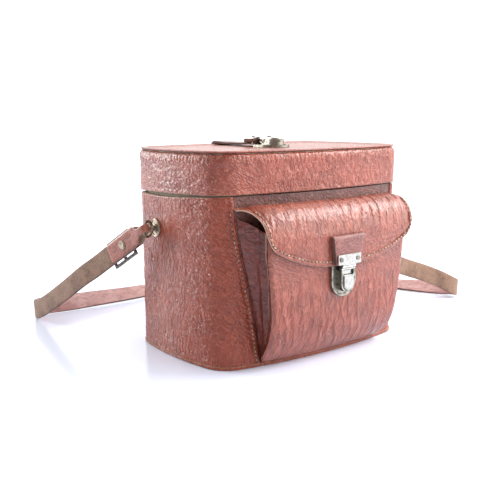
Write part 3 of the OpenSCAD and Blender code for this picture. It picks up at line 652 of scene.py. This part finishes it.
def ring_point(side):
    """Where a strap end passes round its ring."""
    stud_turn = math.asin(EYE_Y / (END_R + CORNER_R))
    wall = END_MID + math.sqrt((END_R + CORNER_R) ** 2 - EYE_Y**2)
    reach = RING_R + RING_R * math.cos(DROPS[side])
    return Vector((
        side * (wall + EYE_OUT * math.cos(stud_turn) + reach * math.cos(RING_TURN)),
        EYE_Y + EYE_OUT * math.sin(stud_turn) - reach * math.sin(RING_TURN),
        EYE_Z - RING_R * math.sin(DROPS[side]),
    ))


def strap_place(side):
    """Turns a strap end's own axes (along, outwards, across) into the frame's, in millimetres."""
    turn = Matrix.Rotation(HEADINGS[side], 4, "Z") @ Matrix.Rotation(PITCHES[side], 4, "Y")
    flip = Matrix.Diagonal((1, -side, 1, 1))
    return Matrix.Translation(ring_point(side)) @ turn @ flip


def along_end(side, distance):
    """The middle of a strap end at this distance from its ring, upright."""
    return (*(strap_place(side) @ Vector((distance, 0, 0))), 0)


def strap_line():
    """The strap's evenly spaced centreline, its lean in degrees, and its length."""
    points = [along_end(-1, distance) for distance in (13, 32, 51, 70)] + STRAP_ROUTE
    points += [along_end(1, distance) for distance in (50, 42, 34, 24, 13)]
    fine = curve_through(points, 0.125)
    walked = lengths_along(fine[:, :3])
    line = places_at(np.linspace(0, walked[-1], int(walked[-1] / STRAP_STEP)), walked, fine)
    return line[:, :3], line[:, 3], walked[-1]


def make_shoulder_strap():
    """The strap's free leather: suede outside its loop, and its grain side within, paled to pink-white with
    painted sheen of the light from above.
    """
    centre, lean, length = strap_line()
    ahead = np.gradient(centre, axis=0)
    ahead /= np.linalg.norm(ahead, axis=1, keepdims=True)
    left = stacked(-ahead[:, 1], ahead[:, 0], 0)
    left /= np.linalg.norm(left, axis=1, keepdims=True)
    lean = np.radians(lean)[:, None]
    across = np.cross(ahead, left) * np.cos(lean) + left * np.sin(lean)
    out = np.cross(across, ahead)
    aside = np.linspace(-1, 1, 13)
    surface = centre[:, None] + across[:, None] * aside[:, None] * STRAP_W / 2 + out[:, None] * STRAP_T / 2
    grain = stacked(aside * STRAP_W / 2, np.arange(len(centre))[:, None] * STRAP_STEP)
    rise = 0.12 * wavy(surface, 9, 3) + 0.1 * wavy(surface, 3, 5) - 0.25 * np.abs(aside) ** 6
    strap = leather_sheet("shoulder_strap_leather", surface, STRAP_T, (STRAP_SUEDE, PINK_GRAIN_SHEEN, DARK_EDGE),
                          (0, 80, 30), grain, rise, rim_out=0.12)
    settle(strap, "case", "strap_suede", "shoulder_strap")
    return strap, centre, length


def leaf_profile():
    """The strap end's face, from the shorter leaf's tip round the ring to the longer leaf's tip."""
    lower = [(34, -2.9), (27, -2.9), (20, -2.9), (13, -2.9), (8, -3.6), (4, -4.6)]
    angles = [math.radians(a) for a in range(265, 94, -12)]
    bend = [(-1 + 4.3 * math.cos(a), -0.7 + 4.3 * math.sin(a)) for a in angles]
    upper = [(4, 3.5), (8, 3.15), (13, 2.9), (20, 2.9), (27, 2.9), (36, 2.9), (42, 2.9), (45, 2.9)]
    return evenly(lower + bend + upper, 80)


def make_strap_end(side):
    """The doubled end of the strap, folded round its ring and riveted."""
    profile, walked = leaf_profile()
    half = np.interp(profile[:, :1], [-8, 2.8, 4.5, 6.8, 9.5, 44, 45], [2.9, 2.9, 3.4, 5.4, 7.6, 7.6, 7.0])
    aside = np.linspace(-1, 1, 13)[None, :]
    local = stacked(profile[:, :1], profile[:, 1:], half * aside)
    grain = stacked(half * aside, walked[:, None])
    place = np.array(strap_place(side))
    surface = local @ place[:3, :3].T + place[:3, 3]
    inside = place[:3, :3] @ np.array([3, 0, 0]) + place[:3, 3]
    rise = 0.1 * wavy(surface, 5, 8) - 0.2 * np.abs(aside) ** 8
    end = leather_sheet("strap_end_" + SIDES[side], surface, 1.6, (HIDE_STRAP, FLESH, CUT_EDGE), inside,
                        grain, rise, rim_out=0.15)
    settle(end, "case", "case_leather", "chape_" + SIDES[side])
    return end


# ---- case
def window_length(z):
    """Length round the outline, from the middle of the back, to the window's left edge."""
    near = (OUT_P[:, 0] < 0) & (OUT_P[:, 1] < 0)
    return np.interp(-window_x(z), OUT_P[near, 0], OUT_S[near])


def make_wall():
    """Outer leather of the back and the ends, up to the window in front, where its edge is hemmed."""
    up, across = grid(118, 640)
    z = WALL_FOOT + up * (127 - WALL_FOOT)
    # The window's edge depends on the height, and the wall's top on the place, so both settle in three rounds
    for _ in range(3):
        left = window_length(z)
        at = GIRTH - left + across * 2 * left
        x, y = round_case(at, 0)
        z = WALL_FOOT + up * (case_top(y) - 0.5 - WALL_FOOT)
    surface = stacked(x, y, z)
    grain = stacked(at, z)
    to_edge = np.minimum(across, 1 - across) * 2 * left
    slant = smooth((76 - to_edge) / 34) * smooth((z + 12) / 45)
    rise = hide_relief(grain, slant, 1.0, lean=0.55)
    rise = rise * (1 - 0.8 * smooth((3.4 - to_edge) / 2)) * smooth((z - WALL_FOOT) / 2)
    rise = rise * smooth((case_top(y) - z) / 1.5)
    rise += 0.35 * bell(to_edge, 1.6, 1.1) - 0.45 * bell(to_edge, 4.4, 0.8)
    rise -= 0.5 * smooth((2.6 - to_edge) / 2.6) ** 4
    wall = leather_sheet("case_wall", surface, LEATHER_T, (HIDE, FLESH, CUT_EDGE), (0, 0, 60),
                         grain, rise, slant)
    settle(wall, "case", "case_leather", "wall_leather")


def make_front_panel():
    """The thinner leather of the front, behind the pocket."""
    up, across = grid(90, 150, -1)
    z = WALL_FOOT + up * (PANEL_TOP - WALL_FOOT)
    x = across * (window_x(z) - 0.1)
    surface = stacked(x, -front_out(x, PANEL_IN), z)
    grain = stacked(x, z)
    rise = 0.5 * hide_relief(grain, 0.6, 9.0) - 0.15
    # painted shade: the panel's hide is darkened for the shade under the lid
    panel = leather_sheet("front_panel_leather", surface, PANEL_T, (HIDE_PANEL_SHADED, FLESH, DARK_EDGE), (0, 0, 60),
                          grain, rise, 0.6)
    settle(panel, "case", "case_leather", "front_panel")


def make_pocket():
    """The pocket's front leather: long folds low down, and short wrinkles under the flap."""
    up, across = grid(116, 150, -1)
    z = POCKET_FOOT + up**1.25 * (POCKET_TOP - POCKET_FOOT)
    x = across * pocket_half(z)
    surface = stacked(x, pocket_y(x, z), z)
    grain = stacked(x, z)
    slant = smooth((z - 58) / 18)
    wander = x + 0.14 * z + 4.5 * wavy(surface, 30, 6) + 1.5 * wavy(surface, 10, 1)
    folds = np.exp(-2.6 * np.abs(np.sin(wander * math.pi / 8.2))) * (0.6 + 0.4 * wavy(surface, 17, 3))
    folds = folds * smooth((78 - z) / 36) * smooth(z / 14)
    rise = 0.45 * hide_relief(grain, slant, 3.0, lean=0.9, long_mm=22, gap_mm=4.2) + 1.1 * folds
    rise = rise * smooth((1 - np.abs(across)) / 0.06) - 1.3 * smooth((np.abs(across) - 0.955) / 0.045) ** 2
    pocket = leather_sheet("pocket_leather", surface, POCKET_T, (HIDE_FRONT, FLESH, HIDE_FRONT), (0, -60, 50),
                           grain, rise, slant, rim_out=0.35)
    settle(pocket, "case", "case_leather", "pocket_front")


def gusset_point(z, across):
    """A place on the right side's leather, from the wall to the pocket's edge, with its inward fold."""
    wall_x = window_x(z) - 1.5
    edge_x = pocket_half(z) - 1
    wall_y = -front_out(wall_x - 1.2, PANEL_IN) - 0.1
    edge_y = pocket_y(edge_x, z) + POCKET_T + 0.1
    fold = 8 * (z - POCKET_FOOT) / (POCKET_TOP - POCKET_FOOT) * np.sin(math.pi * across)
    return stacked(wall_x + (edge_x - wall_x) * across - fold, wall_y + (edge_y - wall_y) * across, z)


def make_gusset(side):
    """A folding side of the pocket, creased from folding in and out; its top climbs to the wall."""
    up, across = grid(130, 46)
    foot = 5
    z = foot + up * (POCKET_TOP - 1 + 16 * (1 - across) ** 1.3 - foot)
    surface = gusset_point(z, across) * np.array([side, 1, 1])
    grain = stacked(across * 24, z)
    bend = across + 0.05 * wavy(flat_points(grain), 18, 2)
    crease = 0.9 * bell(bend, 0.36, 0.07) - 1.1 * bell(bend, 0.58, 0.06) + 0.5 * bell(bend, 0.78, 0.05)
    rise = 1.2 * hide_relief(grain, 0.85, 6.0 + side, lean=1.2) + 1.5 * crease * smooth((z - 10) / 40)
    rise = rise * smooth((1 - across) / 0.12)
    # painted shade: the gusset's hide is the darker copy
    gusset = leather_sheet("gusset_" + SIDES[side], surface, 1.2, (HIDE_SHADED, FLESH, HIDE_SHADED),
                           (0, -76, 50), grain, rise, 0.8)
    settle(gusset, "case", "case_leather", "pocket_gusset_" + SIDES[side])


def ring_strip(inset, low, high, rows, columns):
    """A grid round the case, between two heights that depend on y, and its places on the flat hide."""
    up, at = grid(rows, columns)
    at = at * GIRTH
    x, y = round_case(at, inset)
    z = low(y) + (high(y) - low(y)) * up
    return stacked(x, y, z), stacked(at, z)


def disc_grid(inset, z, rings, columns):
    """A flat grid of rings that shrink towards the middle of the case, and its places on the flat hide."""
    share = np.linspace(1, 0.02, rings)[:, None]
    x, y = round_case(np.linspace(0, GIRTH, columns), inset)
    surface = stacked(x * share, y * share, z)
    return surface, surface[..., :2]


def make_base():
    """The base's leather, and the welt that stands out round the foot of the walls."""
    rings = 40
    surface, grain = disc_grid(LEATHER_T - 0.4, 0.2, rings, 300)
    surface[..., 2] += 0.15 * (1 - np.linspace(1, 0.02, rings)[:, None] ** 30)
    base = leather_sheet("base_hide", surface, 1.2, (HIDE, FLESH, CUT_EDGE), (0, 0, 40), grain,
                         0.08 * wavy(surface, 9, 1), ring=True)
    settle(base, "case", "case_leather", "base_leather")
    surface, grain = ring_strip(-0.6, lambda y: 0.6, lambda y: 2.35, 5, 300)
    welt = leather_sheet("base_rand", surface, 2.2, (HIDE, FLESH, CUT_EDGE), (0, 0, 1), grain,
                         0.06 * wavy(surface, 4, 2), ring=True)
    settle(welt, "case", "case_leather", "base_welt")


def cloth(name, body, sheet, thickness, behind_z, rise, *stands_for, inward=False):
    """A piece of lining; sheet is its grid of points, and their places on the flat cloth."""
    surface, grain = sheet
    piece = leather_sheet(name, surface, thickness, (LINING, LINING, LINING), (0, 0, behind_z), grain, rise,
                          ring=True, inward=inward)
    settle(piece, body, "lining", *stands_for)


def make_linings():
    """Cloth inside the case and the lid: both walls, which face inwards, the base, and the lid's roof."""
    wall = ring_strip(COLLAR_IN, lambda y: 5, lambda y: case_top(y) - 0.3, 60, 260)
    rise = 0.12 * np.abs(wavy(wall[0], 12, 2))
    cloth("wall_cloth", "case", wall, 0.7, 60, rise, "wall_lining", inward=True)
    base = disc_grid(COLLAR_IN + 0.1, 5.3, 40, 240)
    cloth("base_cloth", "case", base, 0.6, -40, 0.1 * wavy(base[0], 12, 4), "base_lining")
    side = ring_strip(LID_BOARD_IN + 0.6, lambda y: lid_bottom(y) + 0.3, lambda y: LID_ROOF, 16, 260)
    cloth("lid_side_cloth", "lid", side, 0.5, 140, 0.08 * np.abs(wavy(side[0], 10, 6)), inward=True)
    roof = disc_grid(LID_BOARD_IN + 0.3, LID_ROOF - 0.05, 40, 240)
    cloth("lid_roof_cloth", "lid", roof, 0.5, 260, 0.1 * wavy(roof[0], 12, 9), "lid_lining")


# ---- flap
# Share of the way out and height along the flap, from the wall over its crest to its lowest point
FLAP_CURVE = [(0, 120.9), (0.12, 122.2), (0.25, 122.6), (0.4, 122.2), (0.55, 120.8), (0.7, 117.9),
              (0.82, 113.8), (0.91, 108.8), (0.97, 103.5), (1, 98), (1, 92), (1, 86), (1, 80), (1, 74)]
FLAP_DEPTH = 24


def flap_profile():
    """Share of the way out, height, and distance walked along the middle of the flap."""
    fine = curve_through(FLAP_CURVE, 0.1)
    walked = lengths_along(fine * np.array([FLAP_DEPTH, 1]))
    return np.minimum(fine[:, 0], 1), fine[:, 1], walked


PROFILE_F, PROFILE_Z, PROFILE_S = flap_profile()


def flap_end_z(x):
    """Height of the flap's curved edge, with its two lower corners rounded."""
    return FLAP_LOW + 0.00039 * np.abs(x) ** 2.5 + 7.5 * np.maximum(0, (np.abs(x) - 68) / 9) ** 3


def flap_surface(across, up):
    """A point of the flap's face, and how far it is from the wall along the leather.

    across runs from -1 to 1, and up from 0 at the wall to 1 at the edge."""
    crest = PROFILE_Z.argmax() + 1
    end = np.interp(flap_end_z(across * FLAP_HALF), PROFILE_Z[crest:][::-1], PROFILE_S[crest:][::-1])
    walked = up * end
    out = np.interp(walked, PROFILE_S, PROFILE_F)
    x = across * (np.interp(out, [0, 0.4, 1], [82, 80.5, FLAP_HALF]) - 1.2 * out) + 1.8 * out
    wall = front_out(x, PANEL_IN) + 0.1
    front = FLAP_OUT - POCKET_BOW * (x / 70) ** 2
    droop = 2.6 * smooth((np.abs(across) - 0.86) / 0.14) * smooth(out / 0.1) * (1 - smooth((out - 0.6) / 0.4))
    z = np.interp(walked, PROFILE_S, PROFILE_Z) - droop
    return stacked(x, -(wall + (front - wall) * out), z), walked


def make_flap():
    """The pocket's flap: folds over its crest, a hem line, and an edge that is pared thin."""
    up, across = grid(96, 190, -1)
    surface, walked = flap_surface(across, up)
    x = surface[..., 0]
    wander = x + 3.2 * wavy(surface, 20, 5, (1, 1, 0.6)) + 0.006 * (walked - 10) ** 2
    folds = np.exp(-3.2 * np.abs(np.sin(wander * math.pi / 9.5))) * (0.35 + 0.85 * smooth((x + 20) / 45))
    folds = folds * smooth(walked / 7) * smooth((50 - walked) / 24) * (0.65 + 0.35 * wavy(surface, 12, 2))
    grain = stacked(x, walked)
    slant = smooth((walked - 30) / 18) * (0.4 + 0.6 * smooth((x - 5) / 30))
    rise = 0.6 * hide_relief(grain, slant, 5.0, lean=-0.9, long_mm=9) - 1.25 * folds
    rise = rise * smooth((1 - np.abs(across)) / 0.03) * smooth((1 - up) / 0.04)
    from_edge = np.minimum((1 - np.abs(across)) * FLAP_HALF, (1 - up) * walked.max())
    rise += 0.25 * bell(from_edge, 1.2, 1.0) - 0.3 * bell(from_edge, 4.2, 0.7)
    pared = 0.8 + (FLAP_T - 0.8) * smooth(from_edge / 9)
    flap = leather_sheet("flap_leather", surface, pared[..., None], (HIDE_FRONT, FLESH, PALE_EDGE),
                         (0, -70, 85), grain, rise, slant)
    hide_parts("flap", "flap_root")
    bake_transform(flap)


def make_tab():
    """The leather tab that carries the pocket lock's tongue; it stands proud of the flap."""
    low, high = 76, 98
    path = [(-92.2, high), (-93.6, 97.8), (-94.9, 97.0), (-95.4, 95.4), (-95.5, 92), (-95.5, 84),
            (-95.5, 76.1)]
    surface, grain, side = band_along(path, [0], [1], 33, 48)
    left = np.interp(surface[..., 2], [low, high], [LOCK_X - 12.4, LOCK_X - 15.3])
    right = np.interp(surface[..., 2], [low, high], [LOCK_X + 12.2, LOCK_X + 18.3])
    surface[..., 0] = left + (right - left) * (surface[..., 0] + 1) / 2
    grain[..., 0] = surface[..., 0]
    rise = 0.4 * hide_relief(grain, 0.9, 8.0, lean=0.9) - 0.3 * side**8
    tab = leather_sheet("tab_leather", surface, 3.6, (HIDE_TAB, FLESH, DARK_EDGE), (LOCK_X, -80, 84), grain,
                        rise, 0.8, rim_out=0.05)
    settle(tab, "flap", "dark_leather", "flap_tab")


# ---- lid
def make_lid_rim():
    """The lid's side, rounded over at its top, with small puckers under the welt."""
    up, at = grid(40, 620)
    at = at * GIRTH
    low = lid_bottom(round_case(at, -LID_OVER)[1])
    z = low + 0.4 + up * (RIM_TOP - low - 0.4)
    over = np.maximum(0, z - RIM_TOP + 6) / 6
    inset = -LID_OVER + 2.6 * (1 - np.sqrt(np.maximum(0, 1 - np.minimum(over, 0.999) ** 2.2)))
    x, y = round_case(at, inset)
    surface = stacked(x, y, z)
    grain = stacked(at, z)
    slant = smooth((95 - np.abs(at - GIRTH * 0.27)) / 40) * smooth((at - GIRTH * 0.1) / 20)
    puckers = np.abs(np.sin(at * math.pi / 3.6 + 2.4 * wavy(surface, 14, 7)))
    puckers = puckers * smooth((z - RIM_TOP + 10) / 4) * smooth((RIM_TOP - 0.3 - z) / 1.5)
    rise = hide_relief(grain, slant, 2.0, lean=0.85, gap_mm=3.2) * smooth((z - low) / 2)
    rise += 0.4 * puckers - 0.16 * bell(z, low + 3.6, 0.8)
    rim = leather_sheet("lid_rim_hide", surface, 1.8, (HIDE_LID, FLESH, CUT_EDGE), (0, 0, 140), grain, rise,
                        slant, ring=True)
    settle(rim, "lid", "case_leather", "lid_rim_leather")


def make_lid_top():
    """The lid's top leather: its border overhangs the welt's groove, and stands above the middle."""
    border_in = 12
    inset = np.concatenate([np.linspace(-0.1, border_in, 40), np.full(70, border_in)])[:, None]
    share = np.concatenate([np.ones(40), np.linspace(1, 0.02, 71)[1:]])[:, None]
    x, y = round_case(np.linspace(0, GIRTH, 520), inset)
    x, y = x * share, y * share
    height = np.interp(inset, [-0.1, 0.2, 0.7, 1.6, 3, 5.5, 9], [0.7, 1.05, 1.28, 1.38, 1.25, 0.45, 0.03])
    under_strap = smooth((13.5 - np.abs(x)) / 4) * smooth((y - 46) / 8)
    surface = stacked(x, y, CASE_H + np.minimum(height, 1.4 - 0.85 * under_strap))
    grain = surface[..., :2]
    rise = 0.5 * hide_relief(grain, 0.7, 7.0) - 0.05
    top = leather_sheet("lid_top_hide", surface, 1.1, (HIDE_TOP, FLESH, HIDE_LID), (0, 0, 100), grain, rise,
                        0.7, ring=True, rim_out=0.3)
    settle(top, "lid", "case_leather", "lid_top_leather")


def make_lid_welt():
    """The thin round welt in the groove between the lid's side and its top."""
    z, inset, radius, around = 159.8, 1.5, 0.45, 10
    at = np.linspace(0, GIRTH, 300)[:-1]
    angle = np.arange(around)[:, None] * 2 * math.pi / around
    x, y = round_case(at, inset - radius * np.cos(angle))
    points = stacked(x, y, z + radius * np.sin(angle))
    index = np.arange(x.size).reshape(x.shape)
    above = np.roll(index, -1, axis=0)
    faces = stacked(index, above, np.roll(above, -1, axis=1), np.roll(index, -1, axis=1))
    welt = make_object("lid_welt_cord", points.reshape(-1, 3), faces.reshape(-1, 4), [DARK_EDGE])
    set_grain(welt, stacked(at, np.arange(around)[:, None] * 0.6, 0))
    settle(welt, "lid", "case_leather")


def make_hinge():
    """The leather hinge: it leaves the front panel's top and turns up inside the lid's front wall."""
    # How far in from the front wall, and how high
    path = [(1.5, 124), (1.5, 127), (1.55, 128.5), (2.3, 129.2), (3.6, 129.6), (4.4, 130.3), (4.75, 132),
            (4.8, 136), (4.8, 141), (4.8, 147)]
    profile, walked = evenly(path, 40)
    x = np.linspace(-57, 57, 70)
    surface = stacked(x, profile[:, :1] - front_out(x, 0), profile[:, 1:])
    grain = stacked(x, walked[:, None])
    # painted shade: the hinge's hide is the darker copy
    hinge = leather_sheet("hinge_leather", surface, 0.55, (HIDE_SHADED, FLESH, CUT_EDGE), (0, 0, 128), grain,
                          0.04 * wavy(surface, 5, 3))
    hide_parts("lid_hinge_leaf")
    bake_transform(hinge)


# ---- closing strap
STRAP_BACK, STRAP_TOP = CASE_D / 2 + 1.8, CASE_H + 0.9


def band_along(path, shares, halves, columns, rows):
    """A strap's face along a path of (y, z) points, its places on the flat hide, and shares aside.

    halves are its half widths at these shares of its length."""
    profile, walked = evenly(path, rows)
    width = np.interp(walked / walked[-1], shares, halves)[:, None]
    aside = np.linspace(-1, 1, columns)
    surface = stacked(width * aside, profile[:, :1], profile[:, 1:])
    return surface, stacked(width * aside, walked[:, None]), np.abs(aside)


def make_closing_strap():
    """The dark strap that comes up the back, over the lid's rear edge, and forward to the lock."""
    angles = [math.radians(a) for a in range(0, 91, 10)]
    turn = [(STRAP_BACK - 3 + 5.8 * math.sin(a), STRAP_TOP - 3 + 5.8 * math.cos(a)) for a in angles]
    path = [(7.8, STRAP_TOP + 2.8), (21, STRAP_TOP + 2.75), (27, STRAP_TOP + 2.3), (34, STRAP_TOP + 2.1),
            (54, STRAP_TOP + 2.1), (61, STRAP_TOP + 2.5), *turn]
    path += [(STRAP_BACK + 2.8, z) for z in (140, 110, 86)]
    surface, grain, side = band_along(path, [0, 0.97, 1], [9, 9, 7.2], 15, 110)
    strap = leather_sheet("closing_strap_leather", surface, 2.0, (HIDE_DARK, FLESH, DARK_EDGE), (0, 30, 120),
                          grain, 0.1 * wavy(surface, 5, 2) - 0.25 * side**8, rim_out=0.15)
    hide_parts("closing_strap", "closing_strap_lower")
    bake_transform(strap)


def make_strap_tip():
    """The thicker, wider piece on the closing strap's end, which carries the tongue."""
    path = [(7.8, STRAP_TOP + 5.9), (19.6, STRAP_TOP + 5.9), (20.2, STRAP_TOP + 5.4), (20.3, STRAP_TOP + 3)]
    surface, grain, side = band_along(path, [0], [11.8], 13, 24)
    tip = leather_sheet("closing_strap_tip", surface, 2.6, (HIDE_DARK, FLESH, DARK_EDGE), (0, 12, 150), grain,
                        0.08 * wavy(surface, 4, 6) - 0.3 * side**8, rim_out=0.12)
    settle(tip, "closing_strap", "dark_leather", "closing_strap_end")


def make_anchor():
    """The patch on the back that the closing strap's foot is riveted to, with its four corners cut off."""
    path = [(STRAP_BACK - 0.1, 66), (STRAP_BACK - 0.1, 112)]
    surface, grain, side = band_along(path, [0, 0.05, 0.95, 1], [10.5, 12, 12, 10.5], 15, 40)
    patch = leather_sheet("strap_anchor_leather", surface, 1.5, (HIDE, FLESH, CUT_EDGE), (0, 0, 90), grain,
                          -0.2 * side**8, rim_out=0.15)
    settle(patch, "case", "case_leather", "strap_anchor")


# ---- stitching
RINGS, ROUND = 7, 8  # rings along one stitch, and points round a ring


def thread_points(start, end, up, width, lift):
    """Points of a round-ended thread from start to end, ring by ring; its middle is lifted towards up."""
    axis = end - start
    length = np.linalg.norm(axis)
    axis = axis / length
    side = np.cross(axis, up)
    side /= np.linalg.norm(side)
    up = np.cross(side, axis)
    along = np.linspace(0, math.pi, RINGS)[:, None, None]
    around = np.arange(ROUND)[None, :, None] * 2 * math.pi / ROUND
    middle = start + axis * length * (1 - np.cos(along)) / 2 + up * lift * np.sin(along)
    size = width * np.maximum(0.12, np.sqrt(np.sin(along)))
    return (middle + size * (side * np.cos(around) + up * np.sin(around))).reshape(-1, 3)


def thread_faces():
    """Faces of one thread: its sides ring by ring, and then its two ends."""
    index = np.arange(RINGS * ROUND).reshape(RINGS, ROUND)
    beside = np.roll(index, -1, axis=1)
    sides = stacked(index[:-1], beside[:-1], beside[1:], index[1:]).reshape(-1, 4)
    k = np.arange(1, ROUND - 1, 2)
    cap = stacked(0, k, k + 1, (k + 2) % ROUND)
    return np.concatenate([sides, cap[:, ::-1], cap + (RINGS - 1) * ROUND])


def stitches(name, path, normals, body, radius, missing, seed):
    """A row of thread stitches along a path on a surface, with a near-black patch for a pricked hole before
    each: painted shade.
    """
    walked = lengths_along(path)
    draw = np.random.default_rng(seed)
    pieces, kinds = [], []
    for i in range(int(walked[-1] / STITCH)):
        gone = draw.random() < missing
        lengths = STITCH * np.array([i, i + (1 - STITCH_SHARE) / 2, i + (1 + STITCH_SHARE) / 2])
        hole, start, end = places_at(lengths, walked, path)
        up = places_at(lengths[1], walked, normals)
        jitter = np.cross(end - start, up) * draw.normal(0, 0.03)
        if not gone:
            pieces.append(thread_points(start + jitter, end - jitter, up, radius, 0.2))
            kinds.append(0)
        along = 0.5 * (end - start) / np.linalg.norm(end - start)
        # painted shade: a dark patch stands for the hole
        pieces.append(thread_points(hole - along, hole + along, up, 0.42, 0.02))
        kinds.append(1)
    one = thread_faces()
    faces = np.concatenate([one + i * RINGS * ROUND for i in range(len(pieces))])
    vertices = np.concatenate(pieces)
    row = make_object(name, vertices, faces, [THREAD, HOLE_SHADE], np.repeat(kinds, len(one)))
    set_grain(row, vertices)
    settle(row, body, "case_leather")


def make_flap_stitches():
    """The row that follows the flap's two ends and its lower edge."""
    across = np.concatenate([np.full(30, -0.965), np.linspace(-0.965, 0.965, 150), np.full(30, 0.965)])
    up = np.concatenate([np.linspace(0.3, 0.945, 30), np.full(150, 0.95), np.linspace(0.945, 0.3, 30)])
    step = 0.004
    path = flap_surface(across, up)[0]
    normals = np.cross(flap_surface(across + step, up)[0] - flap_surface(across - step, up)[0],
                       flap_surface(across, up + step)[0] - flap_surface(across, up - step)[0])
    normals /= np.linalg.norm(normals, axis=1, keepdims=True)
    normals *= np.sign(np.sum(normals * (path - np.array([0, -70, 85])), axis=1))[:, None]
    stitches("flap_stitches", path + normals * 0.12, normals, "flap", radius=0.45, missing=0.06, seed=3)


def make_panel_stitches(side):
    """The row in the wall's leather beside the front panel's window."""
    z = np.linspace(4, 123, 120)
    x = window_x(z) + 3.1
    normals = stacked((x - CORNER_X).clip(0) / CORNER_R, -1, 0)
    normals /= np.linalg.norm(normals, axis=1, keepdims=True)
    path = stacked(x, -front_out(x, 0), z) + normals * 0.2
    flip = np.array([side, 1, 1])
    stitches("panel_stitches_" + SIDES[side], path * flip, normals * flip, "case", radius=0.3, missing=0.3,
             seed=5 + side)


# ---- metal and boards from the frame
def finish_nodes(names, material, bevel=0.0):
    """Gives CAD nodes a material, and rounds their edges."""
    for name in names:
        obj = nodes[name]
        obj.data.materials.clear()
        obj.data.materials.append(material)
        if bevel:
            rounding = obj.modifiers.new("rounding", "BEVEL")
            rounding.width = bevel * MM
            rounding.segments = 3
            rounding.limit_method = "ANGLE"
            rounding.angle_limit = math.radians(40)


def finish_frame():
    """The materials of every CAD node that shows or lies inside."""
    finish_nodes(("base_board", "wall_board", "lid_board", "lid_rim_board"), BOARD)
    finish_nodes(("collar",), CARD)
    finish_nodes(("closing_strap_rivets",), BRASS, 0.2)
    for tongue in ("flap_tongue", "closing_tongue"):
        finish_nodes((tongue,), NICKEL_BRIGHT, 0.25)
        finish_nodes((tongue + "_rivets",), STEEL, 0.2)
    for lock in ("pocket_lock", "lid_lock"):
        finish_nodes((lock + "_plate",), NICKEL, 0.35)
        finish_nodes((lock + "_housing",), NICKEL, 0.45)
        finish_nodes((lock + "_button",), NICKEL_BRIGHT, 0.35)
        finish_nodes((lock + "_rivet",), NICKEL, 0.2)
        finish_nodes((lock + "_spring", lock + "_backing"), STEEL)
    for side in SIDES.values():
        finish_nodes(("stud_" + side, "stud_washer_" + side, "ring_" + side), BRASS)
        finish_nodes(("stud_backing_" + side,), STEEL)
        finish_nodes(("chape_rivet_" + side,), BRASS, 0.2)
        finish_nodes(("buckle_frame_" + side, "buckle_prong_" + side), STEEL, 0.35)


# ---- room
def make_floor():
    """A wide, pale table."""
    far = 9000
    corners = [(-far, -far, 0), (far, -far, 0), (far, far, 0), (-far, far, 0)]
    make_object("floor", corners, [(0, 1, 2, 3)], [pale_floor("floor")])


def make_world():
    """An even white room, brighter behind the case and at its right, and darker at its left front."""
    world = bpy.data.worlds.new("room")
    bpy.context.scene.world = world
    world.use_nodes = True
    room = Nodes(world.node_tree)
    direction = room.add("TexCoord", {})["Generated"]
    strength = 0.99
    lobes = (((0.15, 0.985, 0.0), 0.3, 0.9, 1.0), ((0.72, -0.66, 0.2), 0.3, 0.95, 1.2),
             ((-0.79, -0.61, 0.05), 0.1, 0.85, -0.46))
    for toward, low, high, amount in lobes:
        near = room.add("VectorMath", {0: direction, 1: toward}, operation="DOT_PRODUCT")["Value"]
        strength = room.maths("ADD", room.remap(near, low, high, 0.0, amount), strength)
    background = room.add("Background", {"Color": (1, 1, 1, 1), "Strength": strength})[0]
    room.add("OutputWorld", {"Surface": background})


def area_light(name, place, target, size, power):
    """A square soft light that points at target; places and size in metres."""
    data = bpy.data.lights.new(name, "AREA")
    data.size = size
    data.energy = power
    light = bpy.data.objects.new(name, data)
    light.location = place
    light.rotation_mode = "QUATERNION"
    light.rotation_quaternion = (Vector(target) - Vector(place)).to_track_quat("-Z", "Y")
    bpy.context.scene.collection.objects.link(light)


def make_lights():
    """Soft lights from above, from the right front and from behind the left end."""
    area_light("top_light", (0.64, -0.42, 0.7), (0.02, -0.07, 0.1), 0.55, 9.5)
    area_light("right_light", (1.0, -0.95, 0.6), (0, 0, 0.08), 1.1, 7)
    area_light("left_light", (-0.75, 1.15, 0.4), (-0.1, 0, 0.08), 0.55, 11)


def set_view():
    """Plain colours, with no film look."""
    view = bpy.context.scene.view_settings
    view.view_transform = "Standard"
    view.look = "None"


def main():
    """Builds the whole scene."""
    make_camera()
    set_view()
    strap, line, length = make_shoulder_strap()
    ends = [make_strap_end(side) for side in SIDES]
    make_wall()
    make_front_panel()
    make_pocket()
    for side in SIDES:
        make_gusset(side)
    make_flap()
    make_tab()
    make_lid_rim()
    make_lid_top()
    make_lid_welt()
    make_base()
    make_linings()
    make_hinge()
    make_closing_strap()
    make_strap_tip()
    make_anchor()
    make_flap_stitches()
    for side in SIDES:
        make_panel_stitches(side)
    finish_frame()
    make_floor()
    make_world()
    make_lights()


main()
